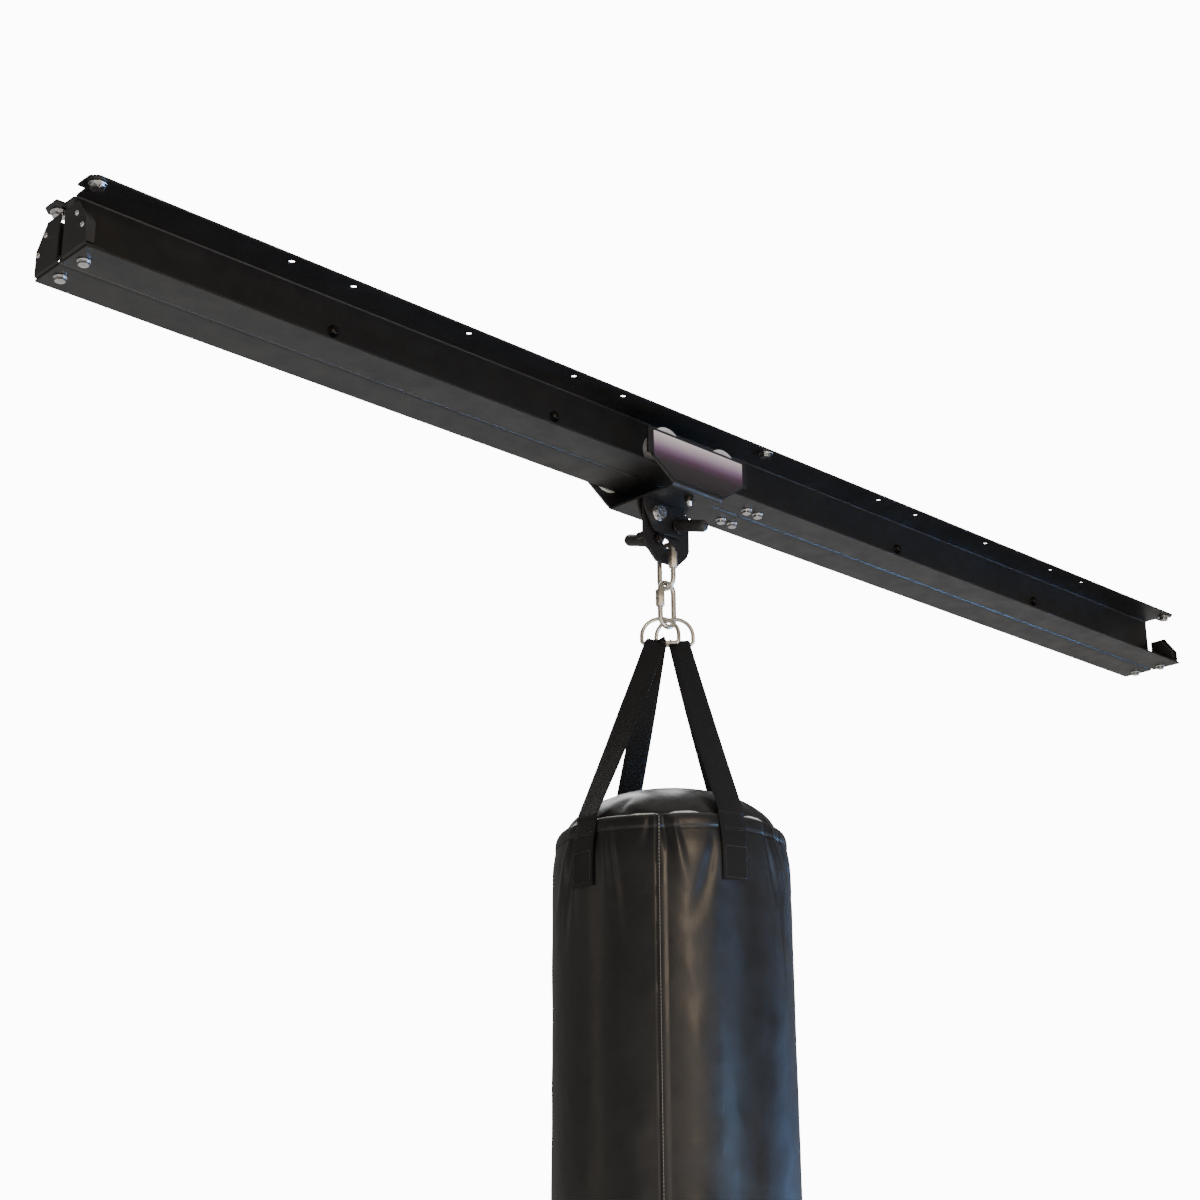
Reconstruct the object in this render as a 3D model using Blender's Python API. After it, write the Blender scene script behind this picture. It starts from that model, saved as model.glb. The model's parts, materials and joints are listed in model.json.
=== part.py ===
"""Heavy punching bag on a rolling trolley under a ceiling-mounted I-beam rail.

Frame: origin at the middle of the rail on its top face, +X along the rail, +Z up.
Near means the -Y side and far the +Y side; left is -X and right is +X.
All sizes below are in millimetres and are turned into metres when a mesh is made.
"""
import math

import bmesh
import bpy
from mathutils import Vector

MM = 0.001
GAP = 0.3                      # clearance between pieces that touch

# Rail: four formed channels, back to back and butted at the middle
RAIL_HALF_LENGTH = 1219.2      # 8 ft in all
RAIL_HEIGHT = 101.6
FLANGE_REACH = 62.0            # centre plane to flange edge
SHEET = 3.0
BEND = 4.5                     # bend radius at the middle of the sheet
BOLT_PITCH = 406.4             # 16 in
WEB_BOLT_Z = -53.0
TOP_HOLE_Y = 46.0
TOP_HOLE_X = (304.8, 406.4, 609.6, 812.8, 914.4)
LAG_END_X = 1203.0
LAG_MID_X = 12.0
LAG_MID_Y = 50.0
SPLICE_X = 13.0
FLANGE_BOLT_Y = 28.0
END_BOLT_X = 1203.0
NOTCH_HALF_WIDTH = 25.0
NOTCH_DEPTH = 12.0
BOTTOM_Z = -RAIL_HEIGHT
TREADWAY_Z = BOTTOM_Z + SHEET  # top face of the bottom flanges

# End stops
STOP_TOP = {"left": -30.0, "right": -46.0}
STOP_X = {"left": 1219.2, "right": 1213.0}
STOP_HALF_WIDTH = 60.0
SPLICE_THICKNESS = 4.0
SMALL_HEAD = (7.3, 5.2, 8.6, 1.6)       # hex corner radius, height, washer radius, washer thickness
SMALL_NUT = (7.3, 6.0, 0.0, 0.0)
BUMPER_THICKNESS = 12.0

# Trolley
TROLLEY_X = -170.0
TROLLEY_HALF = 108.0
TROLLEY_TOP = -50.0
TROLLEY_FLOOR = -127.0         # inside face of the bottom plate
TROLLEY_SHEET = 4.0
SIDE_PLATE_Y = 68.0            # inside face of a side plate
WHEEL_PITCH = 124.0
TREAD_RADIUS = 26.8
RIM_RADIUS = 33.0
AXLE_Z = TREADWAY_Z + GAP + TREAD_RADIUS
AXLE_RADIUS = 5.0
BEARING_RADIUS = 13.0

# Hanger under the trolley
HANGER_TOP = TROLLEY_FLOOR - TROLLEY_SHEET - GAP
EAR_INNER_Y = 5.0
EAR_THICKNESS = 3.0
PLATE_HALF_THICKNESS = 2.0
CROSS_BOLT = (-195.0, -151.0)  # x, z
NEAR_PEG = (-154.0, -160.0, 65.0)       # x, z, length
FAR_PEG = (-191.0, -191.0, 59.0)
PEG_TILT = math.radians(17.0)
LINK_HOLE_Z = -192.0
LINK_HOLE_RADIUS = 8.0
LOCK_SCREW_Y = -51.0

# Quick links
LINK_WIRE = 4.0                # wire radius
LINK_HALF_WIDTH = 14.5         # centre line
LINK_PITCH = 70.0              # top bend to bottom bend, centre lines
LINK_GAP_DROP = 21.0           # top bend down to the middle of the opening
LINK_GAP_HALF = 4.5
LINK_NUT_DROP = 40.5           # top bend down to the nut's lower end
LINK_NUT_LENGTH = 26.0
UPPER_LINK_TOP = LINK_HOLE_Z - LINK_HOLE_RADIUS + LINK_WIRE + 2 * GAP
LOWER_LINK_TOP = UPPER_LINK_TOP - LINK_PITCH + 2 * LINK_WIRE + GAP
LINK_BOTTOM = LOWER_LINK_TOP - LINK_PITCH

# D-rings, straps and bag share a frame turned about the vertical
BAG_YAW = math.radians(-49.4)  # direction across the bag, u; front, f, is u turned by -90 degrees
RING_WIRE = 3.0
RING_HALF_WIDTH = 28.0
RING_SIDE = 12.0
RING_CORNER = 5.0
RING_SHIFT_U = 10.5
RING_TOP_F = 3.2
RING_BAR_F = 6.5
RING_TOP_Z = LINK_BOTTOM + 12.2
RING_BAR_Z = RING_TOP_Z - RING_HALF_WIDTH - RING_SIDE
STRAP_WIDTH = 42.0
STRAP_THICKNESS = 3.0
LOOP_WIDTH = 32.0
# Between the across direction and a strap leg: front left, front right and rear
STRAP_FRONT_ANGLES = {-1: math.radians(48.2), 1: math.radians(55.5)}
STRAP_REAR_ANGLE = math.radians(56.9)
STRAP_END_Z = -748.0

BAG_RIM_Z = -652.0
BAG_LENGTH = 1067.0            # 42 in
BAG_BOTTOM_Z = BAG_RIM_Z - BAG_LENGTH
BAG_RIM_RADIUS = 163.0
BAG_RADIUS = 173.0
BAG_SKIN = 2.5
CAP_HEIGHT = 64.0
BAG_SEGMENTS = 36

MATERIALS = {
    "powder_coat": ((0.012, 0.011, 0.012), 0.45, 0.0),
    "zinc": ((0.62, 0.60, 0.56), 0.30, 1.0),
    "black_steel": ((0.02, 0.02, 0.02), 0.40, 0.6),
    "wheel_nylon": ((0.75, 0.74, 0.70), 0.40, 0.0),
    "rubber": ((0.02, 0.02, 0.021), 0.60, 0.0),
    "label": ((0.30, 0.24, 0.33), 0.35, 0.0),
    "webbing": ((0.010, 0.010, 0.011), 0.85, 0.0),
    "leatherette": ((0.010, 0.010, 0.011), 0.32, 0.0),
    "lining": ((0.80, 0.78, 0.74), 0.80, 0.0),
    "filling": ((0.35, 0.34, 0.32), 0.95, 0.0),
}


# ---------------------------------------------------------------- helpers

def clear_scene():
    for obj in list(bpy.data.objects):
        bpy.data.objects.remove(obj, do_unlink=True)


def material(name):
    found = bpy.data.materials.get(name)
    if found:
        return found
    color, roughness, metallic = MATERIALS[name]
    made = bpy.data.materials.new(name)
    made.use_nodes = True
    shader = made.node_tree.nodes["Principled BSDF"]
    shader.inputs["Base Color"].default_value = (*color, 1.0)
    shader.inputs["Roughness"].default_value = roughness
    shader.inputs["Metallic"].default_value = metallic
    return made


def finish(name, bm, material_name, origin=(0, 0, 0), smooth=True):
    """Turn a bmesh in millimetres into an object whose origin is at origin."""
    bmesh.ops.recalc_face_normals(bm, faces=bm.faces)
    bmesh.ops.translate(bm, verts=bm.verts, vec=-Vector(origin))
    bmesh.ops.scale(bm, verts=bm.verts, vec=(MM, MM, MM))
    mesh = bpy.data.meshes.new(name)
    bm.to_mesh(mesh)
    bm.free()
    if smooth:
        mesh.shade_smooth()
        mesh.set_sharp_from_angle(angle=math.radians(35))
    mesh.materials.append(material(material_name))
    obj = bpy.data.objects.new(name, mesh)
    obj.location = Vector(origin) * MM
    bpy.context.collection.objects.link(obj)
    return obj


def add_prism(bm, outline, low, high, axis):
    """Extrude a closed 2D outline from low to high along axis (X, Y or Z)."""
    place = {
        "X": lambda a, b, c: (c, a, b),
        "Y": lambda a, b, c: (a, c, b),
        "Z": lambda a, b, c: (a, b, c),
    }[axis]
    bottom = [bm.verts.new(place(a, b, low)) for a, b in outline]
    top = [bm.verts.new(place(a, b, high)) for a, b in outline]
    count = len(outline)
    bm.faces.new(bottom)
    bm.faces.new(top[::-1])
    for i in range(count):
        j = (i + 1) % count
        bm.faces.new((bottom[j], bottom[i], top[i], top[j]))


def add_box(bm, low, high):
    outline = ((low[0], low[1]), (high[0], low[1]), (high[0], high[1]), (low[0], high[1]))
    add_prism(bm, outline, low[2], high[2], "Z")


def basis(axis):
    """A direction and two directions across it."""
    along = Vector(axis).normalized()
    helper = Vector((0, 0, 1)) if abs(along.z) < 0.9 else Vector((1, 0, 0))
    across = along.cross(helper).normalized()
    return along, across, along.cross(across)


def add_turned(bm, start, axis, profile, segments=12):
    """A solid of stacked rings. profile lists (distance along axis, radius, shape).

    A hex ring has its corners at radius and its flats midway between them.
    """
    along, across, up = basis(axis)
    rings = []
    for distance, radius, shape in profile:
        ring = []
        for i in range(segments):
            angle = 2 * math.pi * i / segments
            reach = radius
            if shape == "hex" and i % 2:
                reach = radius * math.cos(math.pi / 6)
            point = Vector(start) + along * distance
            point += (across * math.cos(angle) + up * math.sin(angle)) * reach
            ring.append(bm.verts.new(point))
        rings.append(ring)
    bm.faces.new(rings[0])
    bm.faces.new(rings[-1][::-1])
    for one, two in zip(rings, rings[1:]):
        for i in range(segments):
            j = (i + 1) % segments
            bm.faces.new((one[i], one[j], two[j], two[i]))


def add_cylinder(bm, start, axis, radius, length, segments=10):
    add_turned(bm, start, axis, ((0, radius, "round"), (length, radius, "round")), segments)


def add_fastener(bm, start, axis, radius, head, grip, nut, tip):
    """A hex bolt with its nut run on, as one turned solid of twelve sides.

    head and nut are (corner radius, height, washer radius, washer thickness); a
    washer of no thickness is left out. The head's bearing face is at start, and
    the nut's is grip further along axis; tip is the thread that shows past it.
    """
    corner, height, washer, thick = head
    profile = [(-thick - height, corner * 0.88, "hex"), (-thick - height * 0.85, corner, "hex")]
    profile += [(-thick, corner, "hex")]
    if thick:
        profile += [(-thick, washer, "round"), (0, washer, "round")]
    profile += [(0, radius, "round")]
    end = grip
    if nut:
        corner, height, washer, thick = nut
        profile += [(grip, radius, "round")]
        if thick:
            profile += [(grip, washer, "round"), (grip + thick, washer, "round")]
        end = grip + thick + height
        profile += [(grip + thick, corner, "hex"), (end - height * 0.15, corner, "hex")]
        profile += [(end, corner * 0.88, "hex"), (end, radius, "round")]
    profile += [(end + tip - radius * 0.25, radius, "round"), (end + tip, radius * 0.75, "round")]
    add_turned(bm, start, axis, profile, 12)


def add_loop_solid(bm, start, axis, profile, segments=24):
    """A turned ring: profile is a closed outline of (distance along axis, radius)."""
    along, across, up = basis(axis)
    rings = []
    for i in range(segments):
        angle = 2 * math.pi * i / segments
        out = across * math.cos(angle) + up * math.sin(angle)
        rings.append([bm.verts.new(Vector(start) + along * d + out * r) for d, r in profile])
    count = len(profile)
    for i in range(segments):
        one = rings[i]
        two = rings[(i + 1) % segments]
        for k in range(count):
            n = (k + 1) % count
            bm.faces.new((one[k], one[n], two[n], two[k]))


def add_nut(bm, start, axis, hole_radius, corner_radius, height):
    """A hex nut around a hole, as a ring of twelve sides."""
    along, across, up = basis(axis)
    rings = []
    for i in range(12):
        angle = 2 * math.pi * i / 12
        out = across * math.cos(angle) + up * math.sin(angle)
        reach = corner_radius * (math.cos(math.pi / 6) if i % 2 else 1.0)
        ring = []
        for distance, radius in ((0, hole_radius), (0, reach), (height, reach), (height, hole_radius)):
            ring.append(bm.verts.new(Vector(start) + along * distance + out * radius))
        rings.append(ring)
    for i in range(12):
        one = rings[i]
        two = rings[(i + 1) % 12]
        for k in range(4):
            n = (k + 1) % 4
            bm.faces.new((one[k], one[n], two[n], two[k]))


def add_wire(bm, points, normal, radius, closed, segments=10):
    """Sweep a round wire along points that lie in one plane with this normal."""
    normal = Vector(normal).normalized()
    points = [Vector(p) for p in points]
    count = len(points)
    rings = []
    for i, point in enumerate(points):
        if closed:
            tangent = points[(i + 1) % count] - points[i - 1]
        else:
            tangent = points[min(i + 1, count - 1)] - points[max(i - 1, 0)]
        side = tangent.normalized().cross(normal)
        ring = []
        for k in range(segments):
            angle = 2 * math.pi * k / segments
            out = side * math.cos(angle) + normal * math.sin(angle)
            ring.append(bm.verts.new(point + out * radius))
        rings.append(ring)
    last = count if closed else count - 1
    for i in range(last):
        one = rings[i]
        two = rings[(i + 1) % count]
        for k in range(segments):
            n = (k + 1) % segments
            bm.faces.new((one[k], one[n], two[n], two[k]))
    if not closed:
        bm.faces.new(rings[0])
        bm.faces.new(rings[-1][::-1])


def bent_strip(corners, bend_radius, thickness, arc_steps=3):
    """Outline of a bent sheet from the corners of its middle line."""
    path = []
    for i, corner in enumerate(corners):
        here = Vector(corner)
        if i in (0, len(corners) - 1):
            path.append(here)
            continue
        before = (Vector(corners[i - 1]) - here).normalized()
        after = (Vector(corners[i + 1]) - here).normalized()
        half = before.angle(after) / 2
        centre = here + (before + after).normalized() * (bend_radius / math.sin(half))
        first = here + before * (bend_radius / math.tan(half)) - centre
        last = here + after * (bend_radius / math.tan(half)) - centre
        for k in range(arc_steps + 1):
            path.append(centre + first.slerp(last, k / arc_steps).normalized() * bend_radius)
    left = []
    right = []
    for i, point in enumerate(path):
        ahead = (path[min(i + 1, len(path) - 1)] - point).normalized()
        behind = (point - path[max(i - 1, 0)]).normalized()
        tangent = ahead + behind
        side = Vector((-tangent.y, tangent.x)).normalized() * (thickness / 2)
        left.append(tuple(point + side))
        right.append(tuple(point - side))
    return left + right[::-1]


def hidden(name, bm):
    """A cutter object that the model doesn't show."""
    cutter = finish(name, bm, "powder_coat", smooth=False)
    cutter.hide_render = True
    cutter.display_type = "WIRE"
    return cutter


def boolean(obj, cutter, operation):
    modifier = obj.modifiers.new(operation.lower(), "BOOLEAN")
    modifier.operation = operation
    modifier.solver = "EXACT"
    modifier.object = cutter


# ---------------------------------------------------------------- rail

def channel(side, end):
    """One rolled channel; side is -1 near or +1 far, end is -1 left or +1 right."""
    name = "channel_" + ("near" if side < 0 else "far") + ("_left" if end < 0 else "_right")
    half = SHEET / 2
    web_y = side * (GAP / 2 + half)
    corners = (
        (side * FLANGE_REACH, -half),
        (web_y, -half),
        (web_y, BOTTOM_Z + half),
        (side * FLANGE_REACH, BOTTOM_Z + half),
    )
    bm = bmesh.new()
    low, high = sorted((end * GAP / 2, end * RAIL_HALF_LENGTH))
    add_prism(bm, bent_strip(corners, BEND, SHEET), low, high, "X")
    obj = finish(name, bm, "powder_coat")

    cuts = bmesh.new()
    for k in (1, 2):
        add_cylinder(cuts, (end * k * BOLT_PITCH, -20, WEB_BOLT_Z), (0, 1, 0), 4.5, 40)
    for x in TOP_HOLE_X:
        add_cylinder(cuts, (end * x, side * TOP_HOLE_Y, -8), (0, 0, 1), 5.0, 12)
    lags = [(LAG_END_X, TOP_HOLE_Y)]
    if side != end:
        lags.append((LAG_MID_X, LAG_MID_Y))
    for x, y in lags:
        add_cylinder(cuts, (end * x, side * y, -8), (0, 0, 1), 5.5, 12)
    for x in (SPLICE_X, END_BOLT_X):
        add_cylinder(cuts, (end * x, side * FLANGE_BOLT_Y, BOTTOM_Z - 5), (0, 0, 1), 4.5, 12)
    notch_x = RAIL_HALF_LENGTH - NOTCH_DEPTH
    x_low, x_high = sorted((end * notch_x, end * (RAIL_HALF_LENGTH + 20)))
    y_low, y_high = sorted((-side * 20, side * NOTCH_HALF_WIDTH))
    add_box(cuts, (x_low, y_low, BOTTOM_Z + 7), (x_high, y_high, 5))
    corner = (
        (end * (RAIL_HALF_LENGTH - 10), side * (FLANGE_REACH + 1)),
        (end * (RAIL_HALF_LENGTH + 5), side * (FLANGE_REACH - 14)),
        (end * (RAIL_HALF_LENGTH + 5), side * (FLANGE_REACH + 1)),
    )
    add_prism(cuts, corner, -8, 5, "Z")
    boolean(obj, hidden(name + "_cut", cuts), "DIFFERENCE")


def rail():
    for side in (-1, 1):
        for end in (-1, 1):
            channel(side, end)

    web_face = GAP / 2 + SHEET + GAP
    for number, k in enumerate((-2, -1, 1, 2), 1):
        bm = bmesh.new()
        start = (k * BOLT_PITCH, -web_face, WEB_BOLT_Z)
        profile = (
            (-6.6, 4.5, "round"), (-5.8, 6.3, "round"), (-3.2, 7.4, "round"), (-1.6, 7.4, "round"),
            (-1.6, 9.0, "round"), (0, 9.0, "round"), (0, 4.0, "round"), (2 * web_face, 4.0, "round"),
            (2 * web_face, 7.5, "hex"), (2 * web_face + 6.5, 7.5, "hex"),
            (2 * web_face + 6.5, 4.0, "round"), (2 * web_face + 10, 3.5, "round"),
        )
        add_turned(bm, start, (0, 1, 0), profile, 12)
        finish("web_bolt_" + str(number), bm, "black_steel")


def splice():
    """Plates and bolts that join the bottom flanges across the butt joint."""
    plate_z = TREADWAY_Z + GAP
    grip = SHEET + SPLICE_THICKNESS + 3 * GAP
    for side, side_name in ((-1, "near"), (1, "far")):
        name = "splice_plate_" + side_name
        y_low, y_high = sorted((side * 15, side * 38))
        bm = bmesh.new()
        add_box(bm, (-32, y_low, plate_z), (32, y_high, plate_z + SPLICE_THICKNESS))
        obj = finish(name, bm, "powder_coat")
        holes = bmesh.new()
        for end, end_name in ((-1, "left"), (1, "right")):
            x, y = end * SPLICE_X, side * FLANGE_BOLT_Y
            add_cylinder(holes, (x, y, plate_z - 3), (0, 0, 1), 4.5, 12)
            bolt = bmesh.new()
            start = (x, y, BOTTOM_Z - GAP)
            add_fastener(bolt, start, (0, 0, 1), 4.0, SMALL_HEAD, grip, SMALL_NUT, 3.0)
            finish("splice_bolt_" + side_name + "_" + end_name, bolt, "zinc")
        boolean(obj, hidden(name + "_cut", holes), "DIFFERENCE")


def end_stops():
    tab_z = TREADWAY_Z + GAP
    for end, end_name in ((-1, "left"), (1, "right")):
        outer_x = STOP_X[end_name] + SHEET
        inner_x = outer_x - SHEET - GAP
        top = STOP_TOP[end_name]
        for side, side_name in ((-1, "near"), (1, "far")):
            name = "end_stop_" + side_name + "_" + end_name
            bm = bmesh.new()
            corners = (
                (end * (END_BOLT_X - 9.5), tab_z + SHEET / 2),
                (end * (outer_x - SHEET / 2), tab_z + SHEET / 2),
                (end * (outer_x - SHEET / 2), top),
            )
            y_low, y_high = sorted((side * 6.0, side * STOP_HALF_WIDTH))
            add_prism(bm, bent_strip(corners, 3.0, SHEET), y_low, y_high, "Y")
            obj = finish(name, bm, "powder_coat")
            cuts = bmesh.new()
            corner = ((side * 36, top + 1), (side * 63, top - 36), (side * 63, top + 1))
            x_low, x_high = sorted((end * (outer_x - 12), end * (outer_x + 8)))
            add_prism(cuts, corner, x_low, x_high, "X")
            start = (end * END_BOLT_X, side * FLANGE_BOLT_Y, tab_z - 3)
            add_cylinder(cuts, start, (0, 0, 1), 4.5, 10)
            boolean(obj, hidden(name + "_cut", cuts), "DIFFERENCE")

            foot_z = tab_z + SHEET + 4
            outline = (
                (side * 14, foot_z + 10), (side * 40, foot_z + 10), (side * 40, foot_z),
                (side * 57, foot_z), (side * 57, top - 33), (side * 35, top - 6), (side * 14, top - 6),
            )
            low, high = sorted((end * (inner_x - BUMPER_THICKNESS), end * inner_x))
            bm = bmesh.new()
            add_prism(bm, outline, low, high, "X")
            finish("end_bumper_" + side_name + "_" + end_name, bm, "rubber")


# ---------------------------------------------------------------- trolley

def trolley_frame():
    half = TROLLEY_SHEET / 2
    side_y = SIDE_PLATE_Y + half
    floor_z = TROLLEY_FLOOR - half
    corners = ((-side_y, TROLLEY_TOP), (-side_y, floor_z), (side_y, floor_z), (side_y, TROLLEY_TOP))
    bm = bmesh.new()
    low = TROLLEY_X - TROLLEY_HALF - 5
    high = TROLLEY_X + TROLLEY_HALF + 5
    add_prism(bm, bent_strip(corners, 6.0, TROLLEY_SHEET), low, high, "X")
    obj = finish("trolley_frame", bm, "powder_coat")

    half_outline = ((TROLLEY_HALF, -49), (TROLLEY_HALF, -92), (98, -92), (98, -96), (54, -126), (54, -135))
    outline = [(TROLLEY_X + a, z) for a, z in half_outline]
    outline += [(TROLLEY_X - a, z) for a, z in reversed(half_outline)]
    keep = bmesh.new()
    add_prism(keep, outline, -80, 80, "Y")
    boolean(obj, hidden("trolley_frame_keep", keep), "INTERSECT")
    hole = bmesh.new()
    add_cylinder(hole, (TROLLEY_X, LOCK_SCREW_Y, TROLLEY_FLOOR - 10), (0, 0, 1), 4.5, 20)
    add_cylinder(hole, (TROLLEY_X + 46, 9, TROLLEY_FLOOR - 10), (0, 0, 1), 3.3, 20)
    boolean(obj, hidden("trolley_frame_cut", hole), "DIFFERENCE")


def label():
    bm = bmesh.new()
    outline = ((-97, -54), (99, -54), (99, -94), (57, -121), (-53, -121), (-97, -93))
    y = -(SIDE_PLATE_Y + TROLLEY_SHEET + GAP)
    add_prism(bm, [(TROLLEY_X + a, z) for a, z in outline], y - 0.6, y, "Y")
    finish("label_plate", bm, "label")


def running_gear():
    for side, side_name in ((-1, "near"), (1, "far")):
        for end, end_name in ((-1, "left"), (1, "right")):
            x = TROLLEY_X + end * WHEEL_PITCH / 2
            centre = (x, 0, AXLE_Z)
            axis = (0, side, 0)
            seat = BEARING_RADIUS + GAP
            bm = bmesh.new()
            profile = (
                (40.0, 9.0), (40.0, TREAD_RADIUS - 1.0), (41.0, TREAD_RADIUS), (62.6, TREAD_RADIUS),
                (62.6, RIM_RADIUS), (66.6, RIM_RADIUS), (67.2, RIM_RADIUS - 1.2),
                (67.2, seat), (49.0, seat), (49.0, 9.0),
            )
            add_loop_solid(bm, centre, axis, profile, 22)
            finish("wheel_" + side_name + "_" + end_name, bm, "wheel_nylon", origin=centre)
            bm = bmesh.new()
            race = ((49.3, AXLE_RADIUS + GAP), (49.3, BEARING_RADIUS), (64.0, BEARING_RADIUS),
                    (64.0, AXLE_RADIUS + GAP))
            add_loop_solid(bm, centre, axis, race, 14)
            finish("bearing_" + side_name + "_" + end_name, bm, "zinc", origin=centre)
            start = (x, side * (SIDE_PLATE_Y - GAP), AXLE_Z)
            stub = (
                (0, 8.0, "round"), (3.4, 8.0, "round"), (3.4, AXLE_RADIUS, "round"),
                (19.0, AXLE_RADIUS, "round"), (19.0, 8.4, "hex"), (26.0, 8.4, "hex"),
                (26.0, AXLE_RADIUS, "round"), (29.0, AXLE_RADIUS - 1, "round"),
            )
            bm = bmesh.new()
            add_turned(bm, start, (0, -side, 0), stub, 12)
            finish("axle_" + side_name + "_" + end_name, bm, "zinc")


# ---------------------------------------------------------------- hanger

def ear(side):
    name = "hanger_ear_" + ("near" if side < 0 else "far")
    outline = (
        (-224, HANGER_TOP), (-223, -143), (-219, -153), (-208, -174), (-201, -181),
        (-146, -181), (-139, -177), (-137, -170), (-137, HANGER_TOP),
    )
    low, high = sorted((side * EAR_INNER_Y, side * (EAR_INNER_Y + EAR_THICKNESS)))
    bm = bmesh.new()
    add_prism(bm, outline, low, high, "Y")
    obj = finish(name, bm, "powder_coat")
    holes = bmesh.new()
    add_cylinder(holes, (CROSS_BOLT[0], -15, CROSS_BOLT[1]), (0, 1, 0), 6.4, 30)
    add_cylinder(holes, (NEAR_PEG[0], -15, NEAR_PEG[1]), (0, 1, 0), 5.4, 30)
    boolean(obj, hidden(name + "_cut", holes), "DIFFERENCE")


def hanger_plate():
    x = TROLLEY_X
    outline = (
        (x - 50, HANGER_TOP - 4), (x - 50, -194), (x - 44, -206), (x - 22, -226),
        (x + 22, -226), (x + 44, -206), (x + 50, -194), (x + 50, HANGER_TOP - 4),
    )
    half = PLATE_HALF_THICKNESS
    bm = bmesh.new()
    add_prism(bm, outline, -half, half, "Y")
    obj = finish("hanger_plate", bm, "powder_coat")
    wings = bmesh.new()
    for end in (-1, 1):
        low, high = sorted((x + end * 50, x + end * 46.5))
        add_box(wings, (low, half - 1, -194), (high, 14, -184))
    boolean(obj, hidden("hanger_plate_wings", wings), "UNION")
    holes = bmesh.new()
    add_cylinder(holes, (CROSS_BOLT[0], -15, CROSS_BOLT[1]), (0, 1, 0), 6.4, 30)
    add_cylinder(holes, (NEAR_PEG[0], -15, NEAR_PEG[1]), (0, 1, 0), 5.4, 30)
    add_cylinder(holes, (FAR_PEG[0], -15, FAR_PEG[1]), (0, 1, 0), 5.4, 30)
    add_cylinder(holes, (x, -15, LINK_HOLE_Z), (0, 1, 0), LINK_HOLE_RADIUS, 30, 16)
    boolean(obj, hidden("hanger_plate_cut", holes), "DIFFERENCE")


def peg(name, place, side):
    """A bolt through the hanger whose long end carries a rubber sleeve, tilted by PEG_TILT."""
    x, z, length = place
    face = EAR_INNER_Y + EAR_THICKNESS
    root = Vector((x, side * face, z))
    direction = Vector((0, side * math.cos(PEG_TILT), side * math.sin(PEG_TILT)))
    back = (face if side < 0 else PLATE_HALF_THICKNESS) + GAP
    straight = (
        (-11.0, 4.0, "round"), (-10.0, 5.0, "round"),
        (-8.0, 5.0, "round"), (-8.0, 8.6, "hex"), (0, 8.6, "hex"),
        (0, 5.0, "round"), (back + face + 4.0, 5.0, "round"),
    )
    bm = bmesh.new()
    add_turned(bm, (x, -side * back, z), (0, side, 0), straight, 12)
    obj = finish(name + "_bolt", bm, "black_steel")
    arm = bmesh.new()
    collar = (
        (1.0, 4.6, "round"), (5.0, 4.6, "round"), (5.0, 12.5, "round"), (8.0, 12.5, "round"),
        (8.0, 4.6, "round"), (length - 8, 4.6, "round"),
    )
    add_turned(arm, root, direction, collar, 14)
    boolean(obj, hidden(name + "_arm", arm), "UNION")

    sleeve = bmesh.new()
    radius = 9.5
    nose = 7.0
    profile = [(8.3, radius, "round"), (length - nose, radius, "round")]
    for k in range(1, 4):
        angle = math.pi / 2 * k / 3
        reach = radius - nose * (1 - math.cos(angle))
        profile.append((length - nose * (1 - math.sin(angle)), reach, "round"))
    add_turned(sleeve, root, direction, profile, 14)
    sleeve_obj = finish(name + "_sleeve", sleeve, "rubber")
    bore = bmesh.new()
    add_cylinder(bore, root, direction, 5.0, length - 7)
    boolean(sleeve_obj, hidden(name + "_bore", bore), "DIFFERENCE")


def cross_bolt():
    x, z = CROSS_BOLT
    outer = EAR_INNER_Y + EAR_THICKNESS + GAP
    bm = bmesh.new()
    head = (11.0, 7.5, 12.5, 2.0)
    nut = (11.0, 9.0, 12.5, 2.0)
    add_fastener(bm, (x, -outer, z), (0, 1, 0), 6.0, head, 2 * outer, nut, 4.0)
    finish("cross_bolt", bm, "zinc")


def lock_screw():
    """A screw up through the trolley floor that clamps the trolley under the flange."""
    x, y = TROLLEY_X, LOCK_SCREW_Y
    screw = bmesh.new()
    profile = (
        (0, 3.2, "round"), (1.5, 4.0, "round"), (36.5, 4.0, "round"), (36.5, 7.0, "round"),
        (39.0, 7.0, "round"),
    )
    bottom = BOTTOM_Z - 4.0 - 39.0
    add_turned(screw, (x, y, bottom), (0, 0, 1), profile)
    finish("lock_screw", screw, "zinc", origin=(x, y, bottom))
    nut = bmesh.new()
    add_nut(nut, (x, y, HANGER_TOP), (0, 0, -1), 4.0 + GAP, 8.0, 6.5)
    finish("lock_screw_nut", nut, "black_steel")
    stud = bmesh.new()
    add_fastener(stud, (x + 46, 9, HANGER_TOP), (0, 0, 1), 3.0, (5.6, 5.0, 0.0, 0.0), 10, None, 0.0)
    finish("floor_screw", stud, "zinc")


# ---------------------------------------------------------------- quick links

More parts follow.
